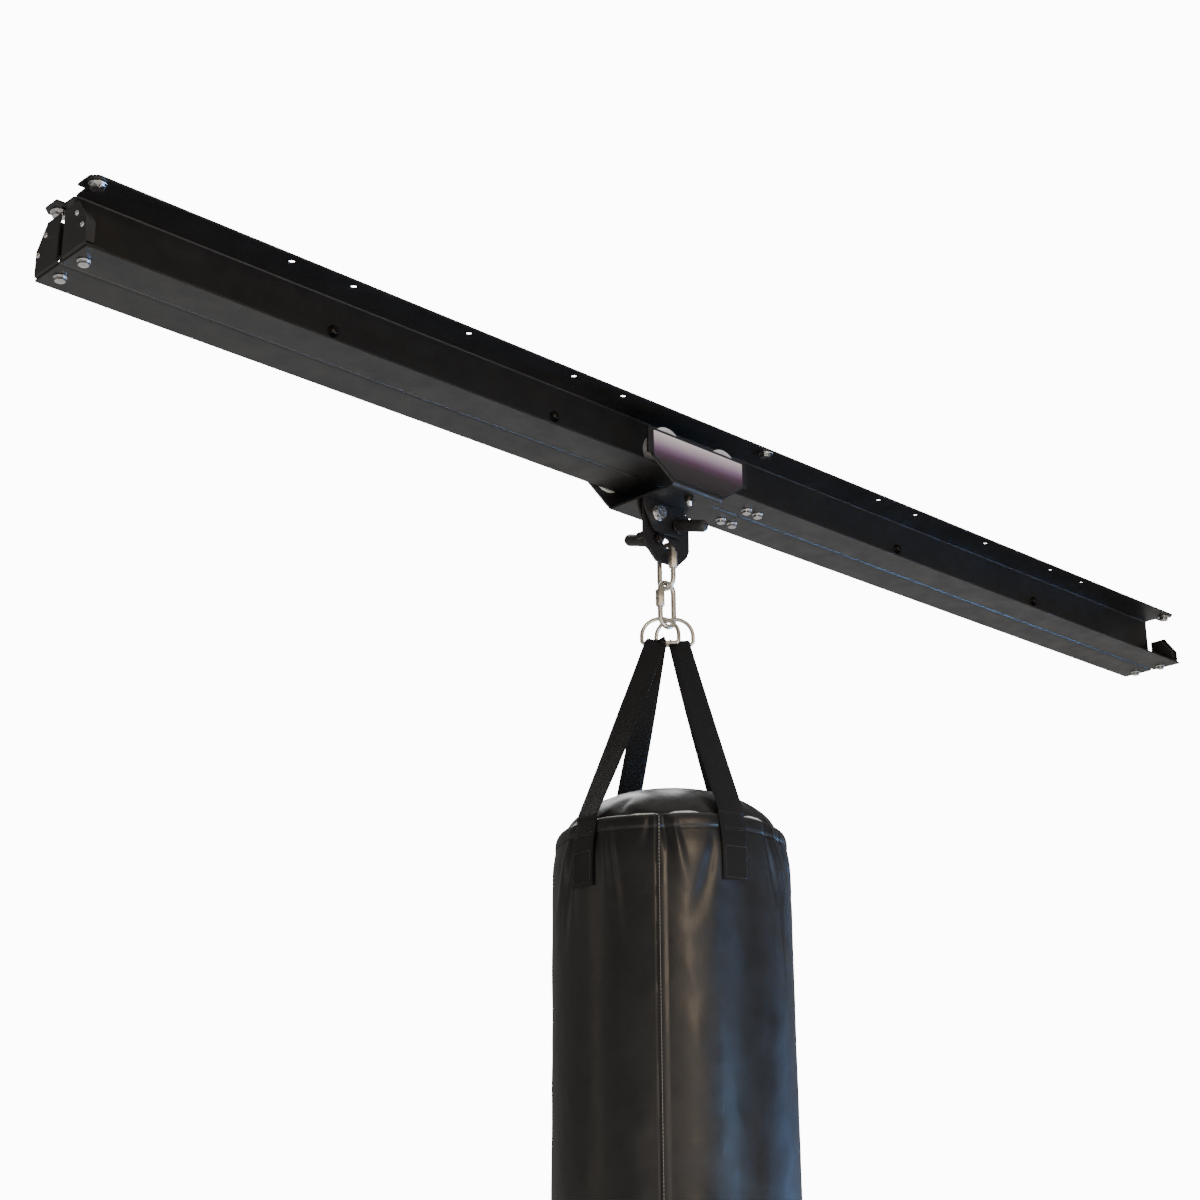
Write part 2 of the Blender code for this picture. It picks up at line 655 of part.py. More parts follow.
def link_path(top_z, across, gap_side, gap_z, gap_half):
    """Centre line of a long link, open at gap_z on the leg on gap_side."""
    centre_x = Vector((TROLLEY_X, 0, 0))
    across = Vector(across)
    top_centre = top_z - LINK_HALF_WIDTH
    bottom_centre = top_z - LINK_PITCH + LINK_HALF_WIDTH
    steps = 8
    half = []
    half.append((gap_side * LINK_HALF_WIDTH, gap_z + gap_half))
    for k in range(steps + 1):
        angle = math.pi * k / steps
        a = gap_side * LINK_HALF_WIDTH * math.cos(angle)
        half.append((a, top_centre + LINK_HALF_WIDTH * math.sin(angle)))
    for k in range(steps + 1):
        angle = math.pi * k / steps
        a = -gap_side * LINK_HALF_WIDTH * math.cos(angle)
        half.append((a, bottom_centre - LINK_HALF_WIDTH * math.sin(angle)))
    half.append((gap_side * LINK_HALF_WIDTH, gap_z - gap_half))
    return [centre_x + across * a + Vector((0, 0, z)) for a, z in half]


def quick_link(name, top_z, across, gap_side):
    normal = Vector(across).cross(Vector((0, 0, 1)))
    gap_z = top_z - LINK_GAP_DROP
    origin = (TROLLEY_X, 0, top_z)
    bm = bmesh.new()
    add_wire(bm, link_path(top_z, across, gap_side, gap_z, LINK_GAP_HALF), normal, LINK_WIRE, False, 8)
    finish(name, bm, "zinc", origin=origin)
    nut = bmesh.new()
    start = Vector((TROLLEY_X, 0, top_z - LINK_NUT_DROP))
    start += Vector(across) * gap_side * LINK_HALF_WIDTH
    add_nut(nut, start, (0, 0, 1), LINK_WIRE + GAP, 7.2, LINK_NUT_LENGTH)
    finish(name + "_nut", nut, "zinc", origin=start)


# ---------------------------------------------------------------- bag

def bag_point(u, f, z):
    across = Vector((math.cos(BAG_YAW), math.sin(BAG_YAW), 0))
    front = Vector((math.sin(BAG_YAW), -math.cos(BAG_YAW), 0))
    return Vector((TROLLEY_X, 0, z)) + across * u + front * f


def d_ring(side, name):
    """side -1 is the left ring, which hangs in front, and +1 the right one, behind."""
    shift = side * RING_SHIFT_U
    lean = math.atan2(RING_BAR_F - RING_TOP_F, RING_TOP_Z - RING_BAR_Z)
    path = []
    for k in range(13):
        angle = math.pi * k / 12
        drop = RING_HALF_WIDTH * (1 - math.sin(angle))
        path.append((RING_HALF_WIDTH * math.cos(angle), -drop))
    base = -(RING_HALF_WIDTH + RING_SIDE)
    inner = RING_HALF_WIDTH - RING_CORNER
    for end in (-1, 1):
        for k in range(3):
            angle = math.pi / 2 * (k / 2 if end < 0 else 1 - k / 2)
            u = end * (inner + RING_CORNER * math.cos(angle))
            path.append((u, base + RING_CORNER * (1 - math.sin(angle))))
    front = -side
    points = []
    for u, drop in path:
        f = front * (RING_TOP_F - drop * math.sin(lean))
        points.append(bag_point(shift + u, f, RING_TOP_Z + drop * math.cos(lean)))
    normal = (points[4] - points[0]).cross(points[9] - points[0])
    bm = bmesh.new()
    add_wire(bm, points, normal, RING_WIRE, True, 8)
    finish(name, bm, "zinc")


def bag_radius(z):
    """Outside radius of the shell: drawn in at the rim, full from 60 mm below it."""
    below = min(max((BAG_RIM_Z - z) / 60.0, 0.0), 1.0)
    ease = math.sin(below * math.pi / 2)
    foot = min(max((z - BAG_BOTTOM_Z) / 25.0, 0.0), 1.0)
    return BAG_RIM_RADIUS + (BAG_RADIUS - BAG_RIM_RADIUS) * ease - 8.0 * (1 - foot) ** 2


def strap(side, name):
    """One webbing strap: up from the bag, over the bar of its ring and down to the bag."""
    bar_f = -side * RING_BAR_F
    bar_u = side * (LOOP_WIDTH / 2 + 1.5)
    over = RING_WIRE + 0.5 + STRAP_THICKNESS / 2
    stations = []
    for front in (1, -1):
        angle = STRAP_FRONT_ANGLES[side] if front > 0 else -STRAP_REAR_ANGLE
        out_u = side * math.cos(angle)
        out_f = math.sin(angle)
        tangent_u = side * math.sin(angle) * front
        tangent_f = -math.cos(angle) * front * side * side
        leg = []
        for z in (STRAP_END_Z, -720.0, -690.0, -668.0, -655.0):
            radius = bag_radius(z) + 0.8 + STRAP_THICKNESS / 2
            leg.append((Vector((out_u * radius, out_f * radius, z)), 1.0))
        rim = Vector((out_u * (BAG_RIM_RADIUS + 2.0), out_f * (BAG_RIM_RADIUS + 2.0), BAG_RIM_Z + 6))
        top = Vector((bar_u, bar_f + front * over, RING_BAR_Z))
        for t in (0.0, 0.12, 0.3, 0.5, 0.7, 0.88, 1.0):
            leg.append((rim.lerp(top, t), 1.0 - t))
        across = Vector((tangent_u, tangent_f, 0)).normalized()
        if across.x * side < 0:
            across = -across
        leg = [(p, w, across) for p, w in leg]
        if front < 0:
            leg.reverse()
        stations.append(leg)
        if front > 0:
            arch = []
            for k in range(1, 8):
                turn = math.pi * k / 8
                point = Vector((bar_u, bar_f + over * math.cos(turn), RING_BAR_Z + over * math.sin(turn)))
                arch.append((point, 0.0, Vector((side, 0, 0))))
            stations.append(arch)
    line = stations[0] + stations[1] + stations[2]

    bm = bmesh.new()
    rings = []
    for i, (point, blend, across) in enumerate(line):
        tangent = line[min(i + 1, len(line) - 1)][0] - line[max(i - 1, 0)][0]
        wide = Vector((side, 0, 0)).lerp(across, blend).normalized()
        wide = (wide - tangent.normalized() * wide.dot(tangent.normalized())).normalized()
        thick = tangent.cross(wide).normalized() * (STRAP_THICKNESS / 2)
        wide = wide * ((LOOP_WIDTH + (STRAP_WIDTH - LOOP_WIDTH) * blend) / 2)
        ring = []
        for a, b in ((-1, -1), (1, -1), (1, 1), (-1, 1)):
            corner = point + wide * a + thick * b
            ring.append(bm.verts.new(bag_point(corner.x, corner.y, corner.z)))
        rings.append(ring)
    for one, two in zip(rings, rings[1:]):
        for k in range(4):
            n = (k + 1) % 4
            bm.faces.new((one[k], one[n], two[n], two[k]))
    bm.faces.new(rings[0])
    bm.faces.new(rings[-1][::-1])
    finish(name, bm, "webbing")


def dome(radius, edge_z, height, steps):
    """Points of a full dome with steep shoulders, from its middle out to its edge."""
    points = []
    for k in range(steps + 1):
        share = math.sin(math.pi / 2 * k / steps)
        points.append((edge_z + height * (1 - share ** 2.2) ** 0.6, radius * share))
    return points


def bag():
    centre = (TROLLEY_X, 0, 0)
    up = (0, 0, 1)
    heights = [BAG_RIM_Z, BAG_RIM_Z - 20, BAG_RIM_Z - 60, -1200.0]
    heights += [BAG_BOTTOM_Z + 25, BAG_BOTTOM_Z]
    outside = [(z, bag_radius(z)) for z in heights]
    inside = [(z, r - BAG_SKIN) for z, r in reversed(outside)]
    bm = bmesh.new()
    add_loop_solid(bm, centre, up, outside + inside, BAG_SEGMENTS)
    finish("bag_shell", bm, "leatherette")

    base_radius = bag_radius(BAG_BOTTOM_Z) - BAG_SKIN - 0.8
    bm = bmesh.new()
    base = ((BAG_BOTTOM_Z + 1, base_radius, "round"), (BAG_BOTTOM_Z + 4, base_radius, "round"))
    add_turned(bm, centre, up, base, BAG_SEGMENTS)
    finish("bag_base", bm, "leatherette")

    lining_out = BAG_RIM_RADIUS - BAG_SKIN - 0.6
    lining_in = lining_out - 2.2
    bm = bmesh.new()
    low, high = BAG_RIM_Z - 20, BAG_RIM_Z + 4
    ring = ((low, lining_in), (low, lining_out), (high, lining_out), (high, lining_in))
    add_loop_solid(bm, centre, up, ring, BAG_SEGMENTS)
    finish("rim_lining", bm, "lining")

    cap_radius = lining_in - 0.8
    edge_z = BAG_RIM_Z - 4
    top = dome(cap_radius, edge_z, CAP_HEIGHT, 5)
    under = [(z - 3.0, r) for z, r in top]
    bm = bmesh.new()
    add_dome(bm, centre, top, under)
    finish("top_cap", bm, "leatherette")

    fill_top = [(z - 4.0, r) for z, r in top]
    side_radius = BAG_RADIUS - BAG_SKIN - 0.8
    bm = bmesh.new()
    profile = [(BAG_BOTTOM_Z + 5, base_radius, "round"), (BAG_BOTTOM_Z + 25, side_radius, "round")]
    profile += [(BAG_RIM_Z - 60, side_radius, "round"), (-673.5, cap_radius, "round")]
    profile += [(z, r, "round") for z, r in reversed(fill_top[1:])]
    add_turned(bm, centre, up, profile, BAG_SEGMENTS)
    finish("bag_filling", bm, "filling")


def add_dome(bm, centre, top, under):
    """A domed sheet between two lists of (height, radius) that start on the axis."""
    surfaces = []
    for line in (top, under):
        pole = bm.verts.new((centre[0], centre[1], line[0][0]))
        rings = []
        for z, r in line[1:]:
            ring = []
            for i in range(BAG_SEGMENTS):
                angle = 2 * math.pi * i / BAG_SEGMENTS
                around = Vector((math.cos(angle), math.sin(angle), 0))
                ring.append(bm.verts.new(Vector((centre[0], centre[1], z)) + around * r))
            rings.append(ring)
        for i in range(BAG_SEGMENTS):
            bm.faces.new((pole, rings[0][i], rings[0][(i + 1) % BAG_SEGMENTS]))
        for one, two in zip(rings, rings[1:]):
            for i in range(BAG_SEGMENTS):
                j = (i + 1) % BAG_SEGMENTS
                bm.faces.new((one[i], one[j], two[j], two[i]))
        surfaces.append(rings[-1])
    for i in range(BAG_SEGMENTS):
        j = (i + 1) % BAG_SEGMENTS
        bm.faces.new((surfaces[0][i], surfaces[0][j], surfaces[1][j], surfaces[1][i]))


def main():
    clear_scene()
    rail()
    splice()
    end_stops()
    trolley_frame()
    label()
    running_gear()
    ear(-1)
    ear(1)
    hanger_plate()
    peg("near_peg", NEAR_PEG, -1)
    peg("far_peg", FAR_PEG, 1)
    cross_bolt()
    lock_screw()
    quick_link("upper_link", UPPER_LINK_TOP, (0, 1, 0), -1)
    quick_link("lower_link", LOWER_LINK_TOP, (1, 0, 0), -1)
    d_ring(-1, "d_ring_left")
    d_ring(1, "d_ring_right")
    strap(-1, "strap_left")
    strap(1, "strap_right")
    bag()


main()
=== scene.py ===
"""Looks of the rail-hung punching bag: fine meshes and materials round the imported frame."""
import json
import math

import bmesh
import bpy
from mathutils import Matrix, Vector, noise

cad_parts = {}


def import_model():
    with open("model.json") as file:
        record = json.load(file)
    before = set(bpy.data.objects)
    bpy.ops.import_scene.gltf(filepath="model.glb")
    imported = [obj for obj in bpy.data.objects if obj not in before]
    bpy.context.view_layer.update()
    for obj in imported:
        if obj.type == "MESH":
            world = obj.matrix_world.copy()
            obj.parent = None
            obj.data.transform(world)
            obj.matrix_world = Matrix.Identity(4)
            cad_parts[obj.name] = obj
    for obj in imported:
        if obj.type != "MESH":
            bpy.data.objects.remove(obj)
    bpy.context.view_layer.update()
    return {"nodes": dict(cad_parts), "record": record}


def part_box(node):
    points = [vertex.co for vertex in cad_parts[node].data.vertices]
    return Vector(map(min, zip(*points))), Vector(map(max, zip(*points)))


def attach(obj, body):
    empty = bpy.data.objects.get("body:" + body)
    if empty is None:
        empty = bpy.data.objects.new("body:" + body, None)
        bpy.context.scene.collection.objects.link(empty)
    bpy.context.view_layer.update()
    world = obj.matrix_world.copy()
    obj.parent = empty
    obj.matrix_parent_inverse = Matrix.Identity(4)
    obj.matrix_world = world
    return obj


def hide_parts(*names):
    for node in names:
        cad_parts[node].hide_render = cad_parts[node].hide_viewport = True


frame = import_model()
NODES = frame["nodes"]
MM = 0.001
UP = Vector((0, 0, 1))

# The photograph's camera
CAMERA_PLACE = (-2.27019, -2.04174, -1.30862)
CAMERA_RIGHT = Vector((0.72266, -0.69119, -0.00451))
CAMERA_UP = Vector((-0.22534, -0.24176, 0.94381))
CAMERA_LENS = 61.02
FLOOR_Z = -2.44

# Places worked out from the frame
SHELL_LOW, SHELL_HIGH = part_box("bag_shell")
BAG_X = (SHELL_LOW.x + SHELL_HIGH.x) / 2
RIM_Z = SHELL_HIGH.z
BOTTOM_Z = SHELL_LOW.z
BAG_RADIUS = (SHELL_HIGH.y - SHELL_LOW.y) / 2
RIM_RADIUS = BAG_RADIUS - 0.010
BAG_YAW = math.radians(-49.4)

# The same in millimetres, as the mesh helpers use them
AXIS_MM = BAG_X / MM
RIM_MM = RIM_Z / MM
RIM_RADIUS_MM = RIM_RADIUS / MM
HEIGHT_MM = (RIM_Z - BOTTOM_Z) / MM


# ---------------------------------------------------------------- material nodes

class Graph:
    """A material being built: short names for the nodes that the materials share."""

    def __init__(self, name):
        self.material = bpy.data.materials.new(name)
        self.material.use_nodes = True
        self.tree = self.material.node_tree
        self.shader = self.tree.nodes["Principled BSDF"]

    def node(self, kind, **settings):
        made = self.tree.nodes.new(kind)
        for key, value in settings.items():
            setattr(made, key, value)
        return made

    def link(self, source, target):
        self.tree.links.new(source, target)

    def set(self, **values):
        for key, value in values.items():
            name = key.replace("_", " ")
            self.shader.inputs[name].default_value = value

    def place(self, scale=(1, 1, 1)):
        coordinates = self.node("ShaderNodeTexCoord")
        mapping = self.node("ShaderNodeMapping")
        mapping.inputs["Scale"].default_value = scale
        self.link(coordinates.outputs["Object"], mapping.inputs["Vector"])
        return mapping.outputs["Vector"]

    def noise(self, scale, detail=3.0, rough=0.5, place=None):
        made = self.node("ShaderNodeTexNoise")
        made.inputs["Scale"].default_value = scale
        made.inputs["Detail"].default_value = detail
        made.inputs["Roughness"].default_value = rough
        self.link(place or self.place(), made.inputs["Vector"])
        return made.outputs["Fac"]

    def cells(self, scale, feature="F1"):
        made = self.node("ShaderNodeTexVoronoi", feature=feature)
        made.inputs["Scale"].default_value = scale
        self.link(self.place(), made.inputs["Vector"])
        return made.outputs["Distance"]

    def ramp(self, value, stops):
        made = self.node("ShaderNodeValToRGB")
        elements = made.color_ramp.elements
        while len(elements) < len(stops):
            elements.new(0.5)
        for element, (at, color) in zip(elements, stops):
            element.position = at
            element.color = (*color, 1.0) if len(color) == 3 else color
        self.link(value, made.inputs["Fac"])
        return made.outputs["Color"]

    def spread(self, value, low, high, start=0.0, end=1.0):
        made = self.node("ShaderNodeMapRange")
        made.inputs["From Min"].default_value = start
        made.inputs["From Max"].default_value = end
        made.inputs["To Min"].default_value = low
        made.inputs["To Max"].default_value = high
        self.link(value, made.inputs["Value"])
        return made.outputs["Result"]

    def math(self, operation, one, two=None):
        made = self.node("ShaderNodeMath", operation=operation)
        for socket, value in zip(made.inputs, (one, two)):
            if value is None:
                continue
            if isinstance(value, (int, float)):
                socket.default_value = value
            else:
                self.link(value, socket)
        return made.outputs["Value"]

    def color(self, value, low, high, start=0.3, end=0.7):
        """Base colour that varies between two colours."""
        self.link(self.ramp(value, ((start, low), (end, high))), self.shader.inputs["Base Color"])

    def rough(self, value, low, high, start=0.3, end=0.7):
        self.link(self.spread(value, low, high, start, end), self.shader.inputs["Roughness"])

    def bump(self, *layers):
        """Stack bumps; each layer is (height, strength, distance in metres)."""
        last = None
        for height, strength, distance in layers:
            made = self.node("ShaderNodeBump")
            made.inputs["Strength"].default_value = strength
            made.inputs["Distance"].default_value = distance
            self.link(height, made.inputs["Height"])
            if last is not None:
                self.link(last, made.inputs["Normal"])
            last = made.outputs["Normal"]
        self.link(last, self.shader.inputs["Normal"])


def powder_coat():
    g = Graph("powder_coat")
    g.set(IOR=1.5)
    large = g.noise(9.0, 4.0)
    g.color(large, (0.0075, 0.0068, 0.0068), (0.013, 0.0118, 0.0112))
    g.rough(g.noise(28.0, 4.0), 0.34, 0.50)
    g.bump((g.noise(900.0, 2.0), 0.22, 0.0004), (g.noise(140.0, 2.0), 0.12, 0.0006))
    return g.material


def zinc(name, tint, low, high):
    g = Graph(name)
    g.set(Metallic=1.0)
    dark = tuple(c * 0.72 for c in tint)
    g.color(g.noise(160.0, 4.0), dark, tint)
    g.rough(g.noise(320.0, 3.0), low, high)
    streak = g.noise(120.0, 2.0, place=g.place((1, 1, 6)))
    g.bump((streak, 0.18, 0.0003), (g.noise(1400.0, 2.0), 0.12, 0.0002))
    return g.material


def black_steel():
    g = Graph("black_steel")
    g.set(Metallic=0.75)
    g.color(g.noise(200.0, 3.0), (0.012, 0.011, 0.011), (0.045, 0.040, 0.037))
    g.rough(g.noise(300.0, 3.0), 0.28, 0.45)
    g.bump((g.noise(900.0, 2.0), 0.2, 0.0003))
    return g.material


def nylon():
    g = Graph("wheel_nylon")
    g.set(Subsurface_Weight=0.08)
    g.color(g.noise(70.0, 4.0), (0.58, 0.57, 0.53), (0.74, 0.73, 0.70))
    g.rough(g.noise(180.0, 3.0), 0.32, 0.5)
    g.bump((g.noise(500.0, 2.0), 0.1, 0.0004))
    return g.material


def rubber():
    g = Graph("rubber")
    g.color(g.noise(60.0, 4.0), (0.012, 0.011, 0.011), (0.022, 0.020, 0.019))
    g.rough(g.noise(90.0, 3.0), 0.42, 0.62)
    g.bump((g.noise(1100.0, 3.0), 0.3, 0.0004), (g.noise(60.0, 2.0), 0.15, 0.001))
    return g.material


def label_film():
    """Printed film that runs from cream at the top, through purple, to dark grey."""
    g = Graph("label")
    g.set(Coat_Weight=0.25)
    low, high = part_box("label_plate")
    coordinates = g.node("ShaderNodeTexCoord")
    split = g.node("ShaderNodeSeparateXYZ")
    g.link(coordinates.outputs["Object"], split.inputs["Vector"])
    height = g.spread(split.outputs["Z"], 0.0, 1.0, low.z, high.z)
    along = g.spread(split.outputs["X"], 0.0, 1.0, low.x, high.x)
    drift = g.math("MULTIPLY", g.math("SUBTRACT", g.noise(26.0, 2.0), 0.5), 0.04)
    value = g.math("ADD", g.math("ADD", height, drift), g.math("MULTIPLY", along, -0.06))
    stops = (
        (0.0, (0.020, 0.016, 0.016)), (0.36, (0.036, 0.026, 0.028)), (0.50, (0.085, 0.040, 0.068)),
        (0.64, (0.21, 0.135, 0.19)), (0.84, (0.50, 0.41, 0.42)), (0.97, (0.70, 0.61, 0.58)),
    )
    g.link(g.ramp(value, stops), g.shader.inputs["Base Color"])
    g.rough(g.noise(60.0, 3.0), 0.3, 0.42)
    g.bump((g.noise(900.0, 2.0), 0.08, 0.0002))
    return g.material


def weave_height(g, across_pitch, along_pitch):
    """Height of a woven web from the UV map named weave, which is in metres."""
    uv = g.node("ShaderNodeUVMap", uv_map="weave")
    split = g.node("ShaderNodeSeparateXYZ")
    g.link(uv.outputs["UV"], split.inputs["Vector"])
    across = g.math("SINE", g.math("MULTIPLY", split.outputs["X"], 2 * math.pi / across_pitch))
    along = g.math("SINE", g.math("MULTIPLY", split.outputs["Y"], 2 * math.pi / along_pitch))
    return g.math("MULTIPLY", across, along), split


def webbing():
    g = Graph("webbing")
    g.set(Sheen_Weight=0.05, Sheen_Roughness=0.5, Specular_IOR_Level=0.3)
    weave, split = weave_height(g, 0.0042, 0.0034)
    rib = g.math("SINE", g.math("MULTIPLY", split.outputs["X"], 2 * math.pi / 0.0021))
    g.color(g.noise(40.0, 4.0), (0.0032, 0.0029, 0.0029), (0.0068, 0.0058, 0.0053))
    g.rough(weave, 0.62, 0.86, -1.0, 1.0)
    g.bump((weave, 0.45, 0.0006), (rib, 0.25, 0.0003), (g.noise(1500.0, 3.0), 0.25, 0.0002))
    return g.material


def leatherette(name, gloss_low, gloss_high):
    g = Graph(name)
    g.set(Coat_Weight=0.12, Coat_Roughness=0.22, IOR=1.5)
    soil = g.noise(7.0, 5.0)
    g.color(soil, (0.0055, 0.0052, 0.0052), (0.0125, 0.0110, 0.0100))
    g.rough(g.noise(22.0, 5.0, 0.6), gloss_low, gloss_high)
    grain = g.cells(620.0, "DISTANCE_TO_EDGE")
    g.bump((g.noise(34.0, 4.0), 0.16, 0.0022), (grain, 0.18, 0.0004), (g.noise(1300.0, 3.0), 0.12, 0.0002))
    return g.material


def lining():
    g = Graph("lining")
    g.set(Sheen_Weight=0.2)
    g.color(g.noise(120.0, 4.0), (0.66, 0.63, 0.58), (0.86, 0.84, 0.80))
    g.rough(g.noise(300.0, 2.0), 0.7, 0.9)
    g.bump((g.noise(900.0, 3.0), 0.4, 0.0006))
    return g.material


def thread(name, color):
    g = Graph(name)
    g.color(g.noise(800.0, 2.0), tuple(c * 0.7 for c in color), color)
    g.rough(g.noise(900.0, 2.0), 0.45, 0.7)
    g.bump((g.noise(2500.0, 2.0), 0.3, 0.0002))
    return g.material


MATERIALS = {
    "powder_coat": powder_coat(),
    "zinc": zinc("zinc_bright", (0.74, 0.74, 0.74), 0.16, 0.34),
    "zinc_warm": zinc("zinc_warm", (0.70, 0.655, 0.56), 0.24, 0.42),
    "black_steel": black_steel(),
    "wheel_nylon": nylon(),
    "rubber": rubber(),
    "label": label_film(),
    "webbing": webbing(),
    "leatherette": leatherette("leatherette", 0.31, 0.47),
    "cap_leatherette": leatherette("cap_leatherette", 0.40, 0.58),
    "lining": lining(),
    "dark_thread": thread("dark_thread", (0.05, 0.045, 0.04)),
    "light_thread": thread("light_thread", (0.42, 0.38, 0.33)),
}


# ---------------------------------------------------------------- mesh helpers, in millimetres

def new_object(name, data):
    obj = bpy.data.objects.new(name, data)
    bpy.context.scene.collection.objects.link(obj)
    return obj


def piece(name, bm, finish, body, stands_for=(), sharp=35.0):
    """Turn a bmesh in millimetres into a piece that rides on a body."""
    bmesh.ops.recalc_face_normals(bm, faces=bm.faces)
    bmesh.ops.scale(bm, verts=bm.verts, vec=(MM, MM, MM))
    mesh = bpy.data.meshes.new(name)
    bm.to_mesh(mesh)
    bm.free()
    mesh.shade_smooth()
    mesh.set_sharp_from_angle(angle=math.radians(sharp))
    mesh.materials.append(MATERIALS[finish])
    obj = new_object(name, mesh)
    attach(obj, body)
    if stands_for:
        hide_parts(*stands_for)
    return obj


def basis(axis):
    along = Vector(axis).normalized()
    helper = UP if abs(along.z) < 0.9 else Vector((1, 0, 0))
    across = along.cross(helper).normalized()
    return along, across, along.cross(across)


def hex_reach(angle):
    """Distance to a hexagon's edge, for a hexagon whose corners are at 1."""
    return math.cos(math.pi / 6) / math.cos((angle % (math.pi / 3)) - math.pi / 6)


def skin(bm, rings):
    """Join each ring of points to the next with quads."""
    count = len(rings[0])
    for one, two in zip(rings, rings[1:]):
        for i in range(count):
            j = (i + 1) % count
            bm.faces.new((one[i], one[j], two[j], two[i]))


def add_turned(bm, start, axis, profile, segments=48, closed=False):
    """Stacked rings of (distance, radius) or (distance, radius, "hex"); closed joins last to first."""
    along, across, up = basis(axis)
    rings = []
    for station in profile:
        distance, radius = station[:2]
        ring = []
        for i in range(segments):
            angle = 2 * math.pi * i / segments
            reach = radius * (hex_reach(angle) if len(station) > 2 else 1.0)
            point = Vector(start) + along * distance
            ring.append(bm.verts.new(point + (across * math.cos(angle) + up * math.sin(angle)) * reach))
        rings.append(ring)
    if closed:
        rings.append(rings[0])
    else:
        bm.faces.new(rings[0])
        bm.faces.new(rings[-1][::-1])
    skin(bm, rings)


def rounded(points, radius=0.4, steps=3):
    """Round the corners of an open profile of (distance, radius[, "hex"]) points."""
    made = [points[0]]
    for before, here, after in zip(points, points[1:], points[2:]):
        a, b, c = (Vector(p[:2]) for p in (before, here, after))
        back, ahead = a - b, c - b
        cut = min(radius, back.length * 0.45, ahead.length * 0.45)
        if cut < 1e-4:
            made.append(here)
            continue
        first, last = b + back.normalized() * cut, b + ahead.normalized() * cut
        for k in range(steps + 1):
            t = k / steps
            spot = first.lerp(b, t).lerp(b.lerp(last, t), t)
            made.append((spot.x, spot.y, *here[2:]))
    made.append(points[-1])
    return made


def threaded(start, end, radius, pitch=1.25, depth=0.45):
    """Profile of a thread as rings, between two distances."""
    count = max(int(abs(end - start) / pitch), 1)
    made = []
    for k in range(count):
        for share, drop in ((0.0, depth), (0.45, 0.0), (0.6, 0.0)):
            made.append((start + (end - start) * (k + share) / count, radius - drop))
    return made + [(end, radius - depth)]


def add_tube(bm, points, radius, normal=None, closed=False, segments=16):
    """Sweep a round section along points; normal is the plane's, if they lie in one."""
    points = [Vector(p) for p in points]
    count = len(points)
    rings = []
    side = None
    for i, point in enumerate(points):
        if closed:
            tangent = (points[(i + 1) % count] - points[i - 1]).normalized()
        else:
            tangent = (points[min(i + 1, count - 1)] - points[max(i - 1, 0)]).normalized()
        if normal:
            side = tangent.cross(Vector(normal)).normalized()
        elif side is None:
            side = basis(tangent)[1]
        else:
            side = (side - tangent * side.dot(tangent)).normalized()
        up = tangent.cross(side)
        ring = []
        for k in range(segments):
            angle = 2 * math.pi * k / segments
            ring.append(bm.verts.new(point + (side * math.cos(angle) + up * math.sin(angle)) * radius))
        rings.append(ring)
    if closed:
        rings.append(rings[0])
    else:
        bm.faces.new(rings[0])
        bm.faces.new(rings[-1][::-1])
    skin(bm, rings)


def add_stitches(bm, points, stitch=3.2, gap=1.3, radius=0.38):
    """Thread stitches laid end to end along a route."""
    points = [Vector(p) for p in points]
    spots = [0.0]
    for one, two in zip(points, points[1:]):
        spots.append(spots[-1] + (two - one).length)

    def at(distance):
        for k in range(1, len(spots)):
            if distance <= spots[k]:
                share = (distance - spots[k - 1]) / max(spots[k] - spots[k - 1], 1e-9)
                return points[k - 1].lerp(points[k], share)
        return points[-1]

    distance = gap / 2
    while distance + stitch < spots[-1]:
        middle = at(distance + stitch / 2)
        route = [at(distance), middle, at(distance + stitch)]
        add_tube(bm, route, radius, segments=6)
        distance += stitch + gap


def centre(node):
    low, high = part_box(node)
    return (low + high) / 2 / MM


def low_of(node):
    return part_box(node)[0] / MM


def high_of(node):
    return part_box(node)[1] / MM


# ---------------------------------------------------------------- rail and its fasteners

# Corner radius and height of a head, radius and thickness of its washer
HEX_M8 = (7.3, 5.3, 8.6, 1.6)
HEX_M10 = (9.2, 6.4, 11.5, 2.0)
WEB_FACE = 3.45                # just off a web's outer face, from the middle
LOW_FLANGE_Z = -101.8          # just under the lower flange
TOP_FLANGE_Z = -3.2            # just under the upper flange
END_BOLT_X = 1203
END_BOLT_Y = 28
END_LAG_Y = 46


def head_profile(corner, height, washer_radius, washer):
    """Hex head on a washer, from the bearing face outwards."""
    return [
        (0.0, 0.5), (0.0, washer_radius - 0.3), (0.3, washer_radius), (washer - 0.3, washer_radius),
        (washer, washer_radius - 0.3), (washer, corner * 0.93), (washer + 0.15, corner, "hex"),
        (washer + height * 0.78, corner, "hex"), (washer + height * 0.93, corner * 0.93),
        (washer + height, corner * 0.82), (washer + height - 0.25, corner * 0.70),
        (washer + height - 0.25, 0.5),
    ]


def nut_profile(corner, height, start, thread_radius, tip):
    """Hex nut on a bolt's end, with the thread showing past it."""
    made = [
        (start, 0.5), (start, corner * 0.9), (start + 0.5, corner, "hex"),
        (start + height - 0.9, corner, "hex"), (start + height, corner * 0.86),
        (start + height, thread_radius + 0.3), (start + height - 0.6, thread_radius),
    ]
    made += threaded(start + height - 0.3, start + height + tip, thread_radius)
    return made + [(start + height + tip + 0.4, thread_radius * 0.7), (start + height + tip + 0.4, 0.3)]


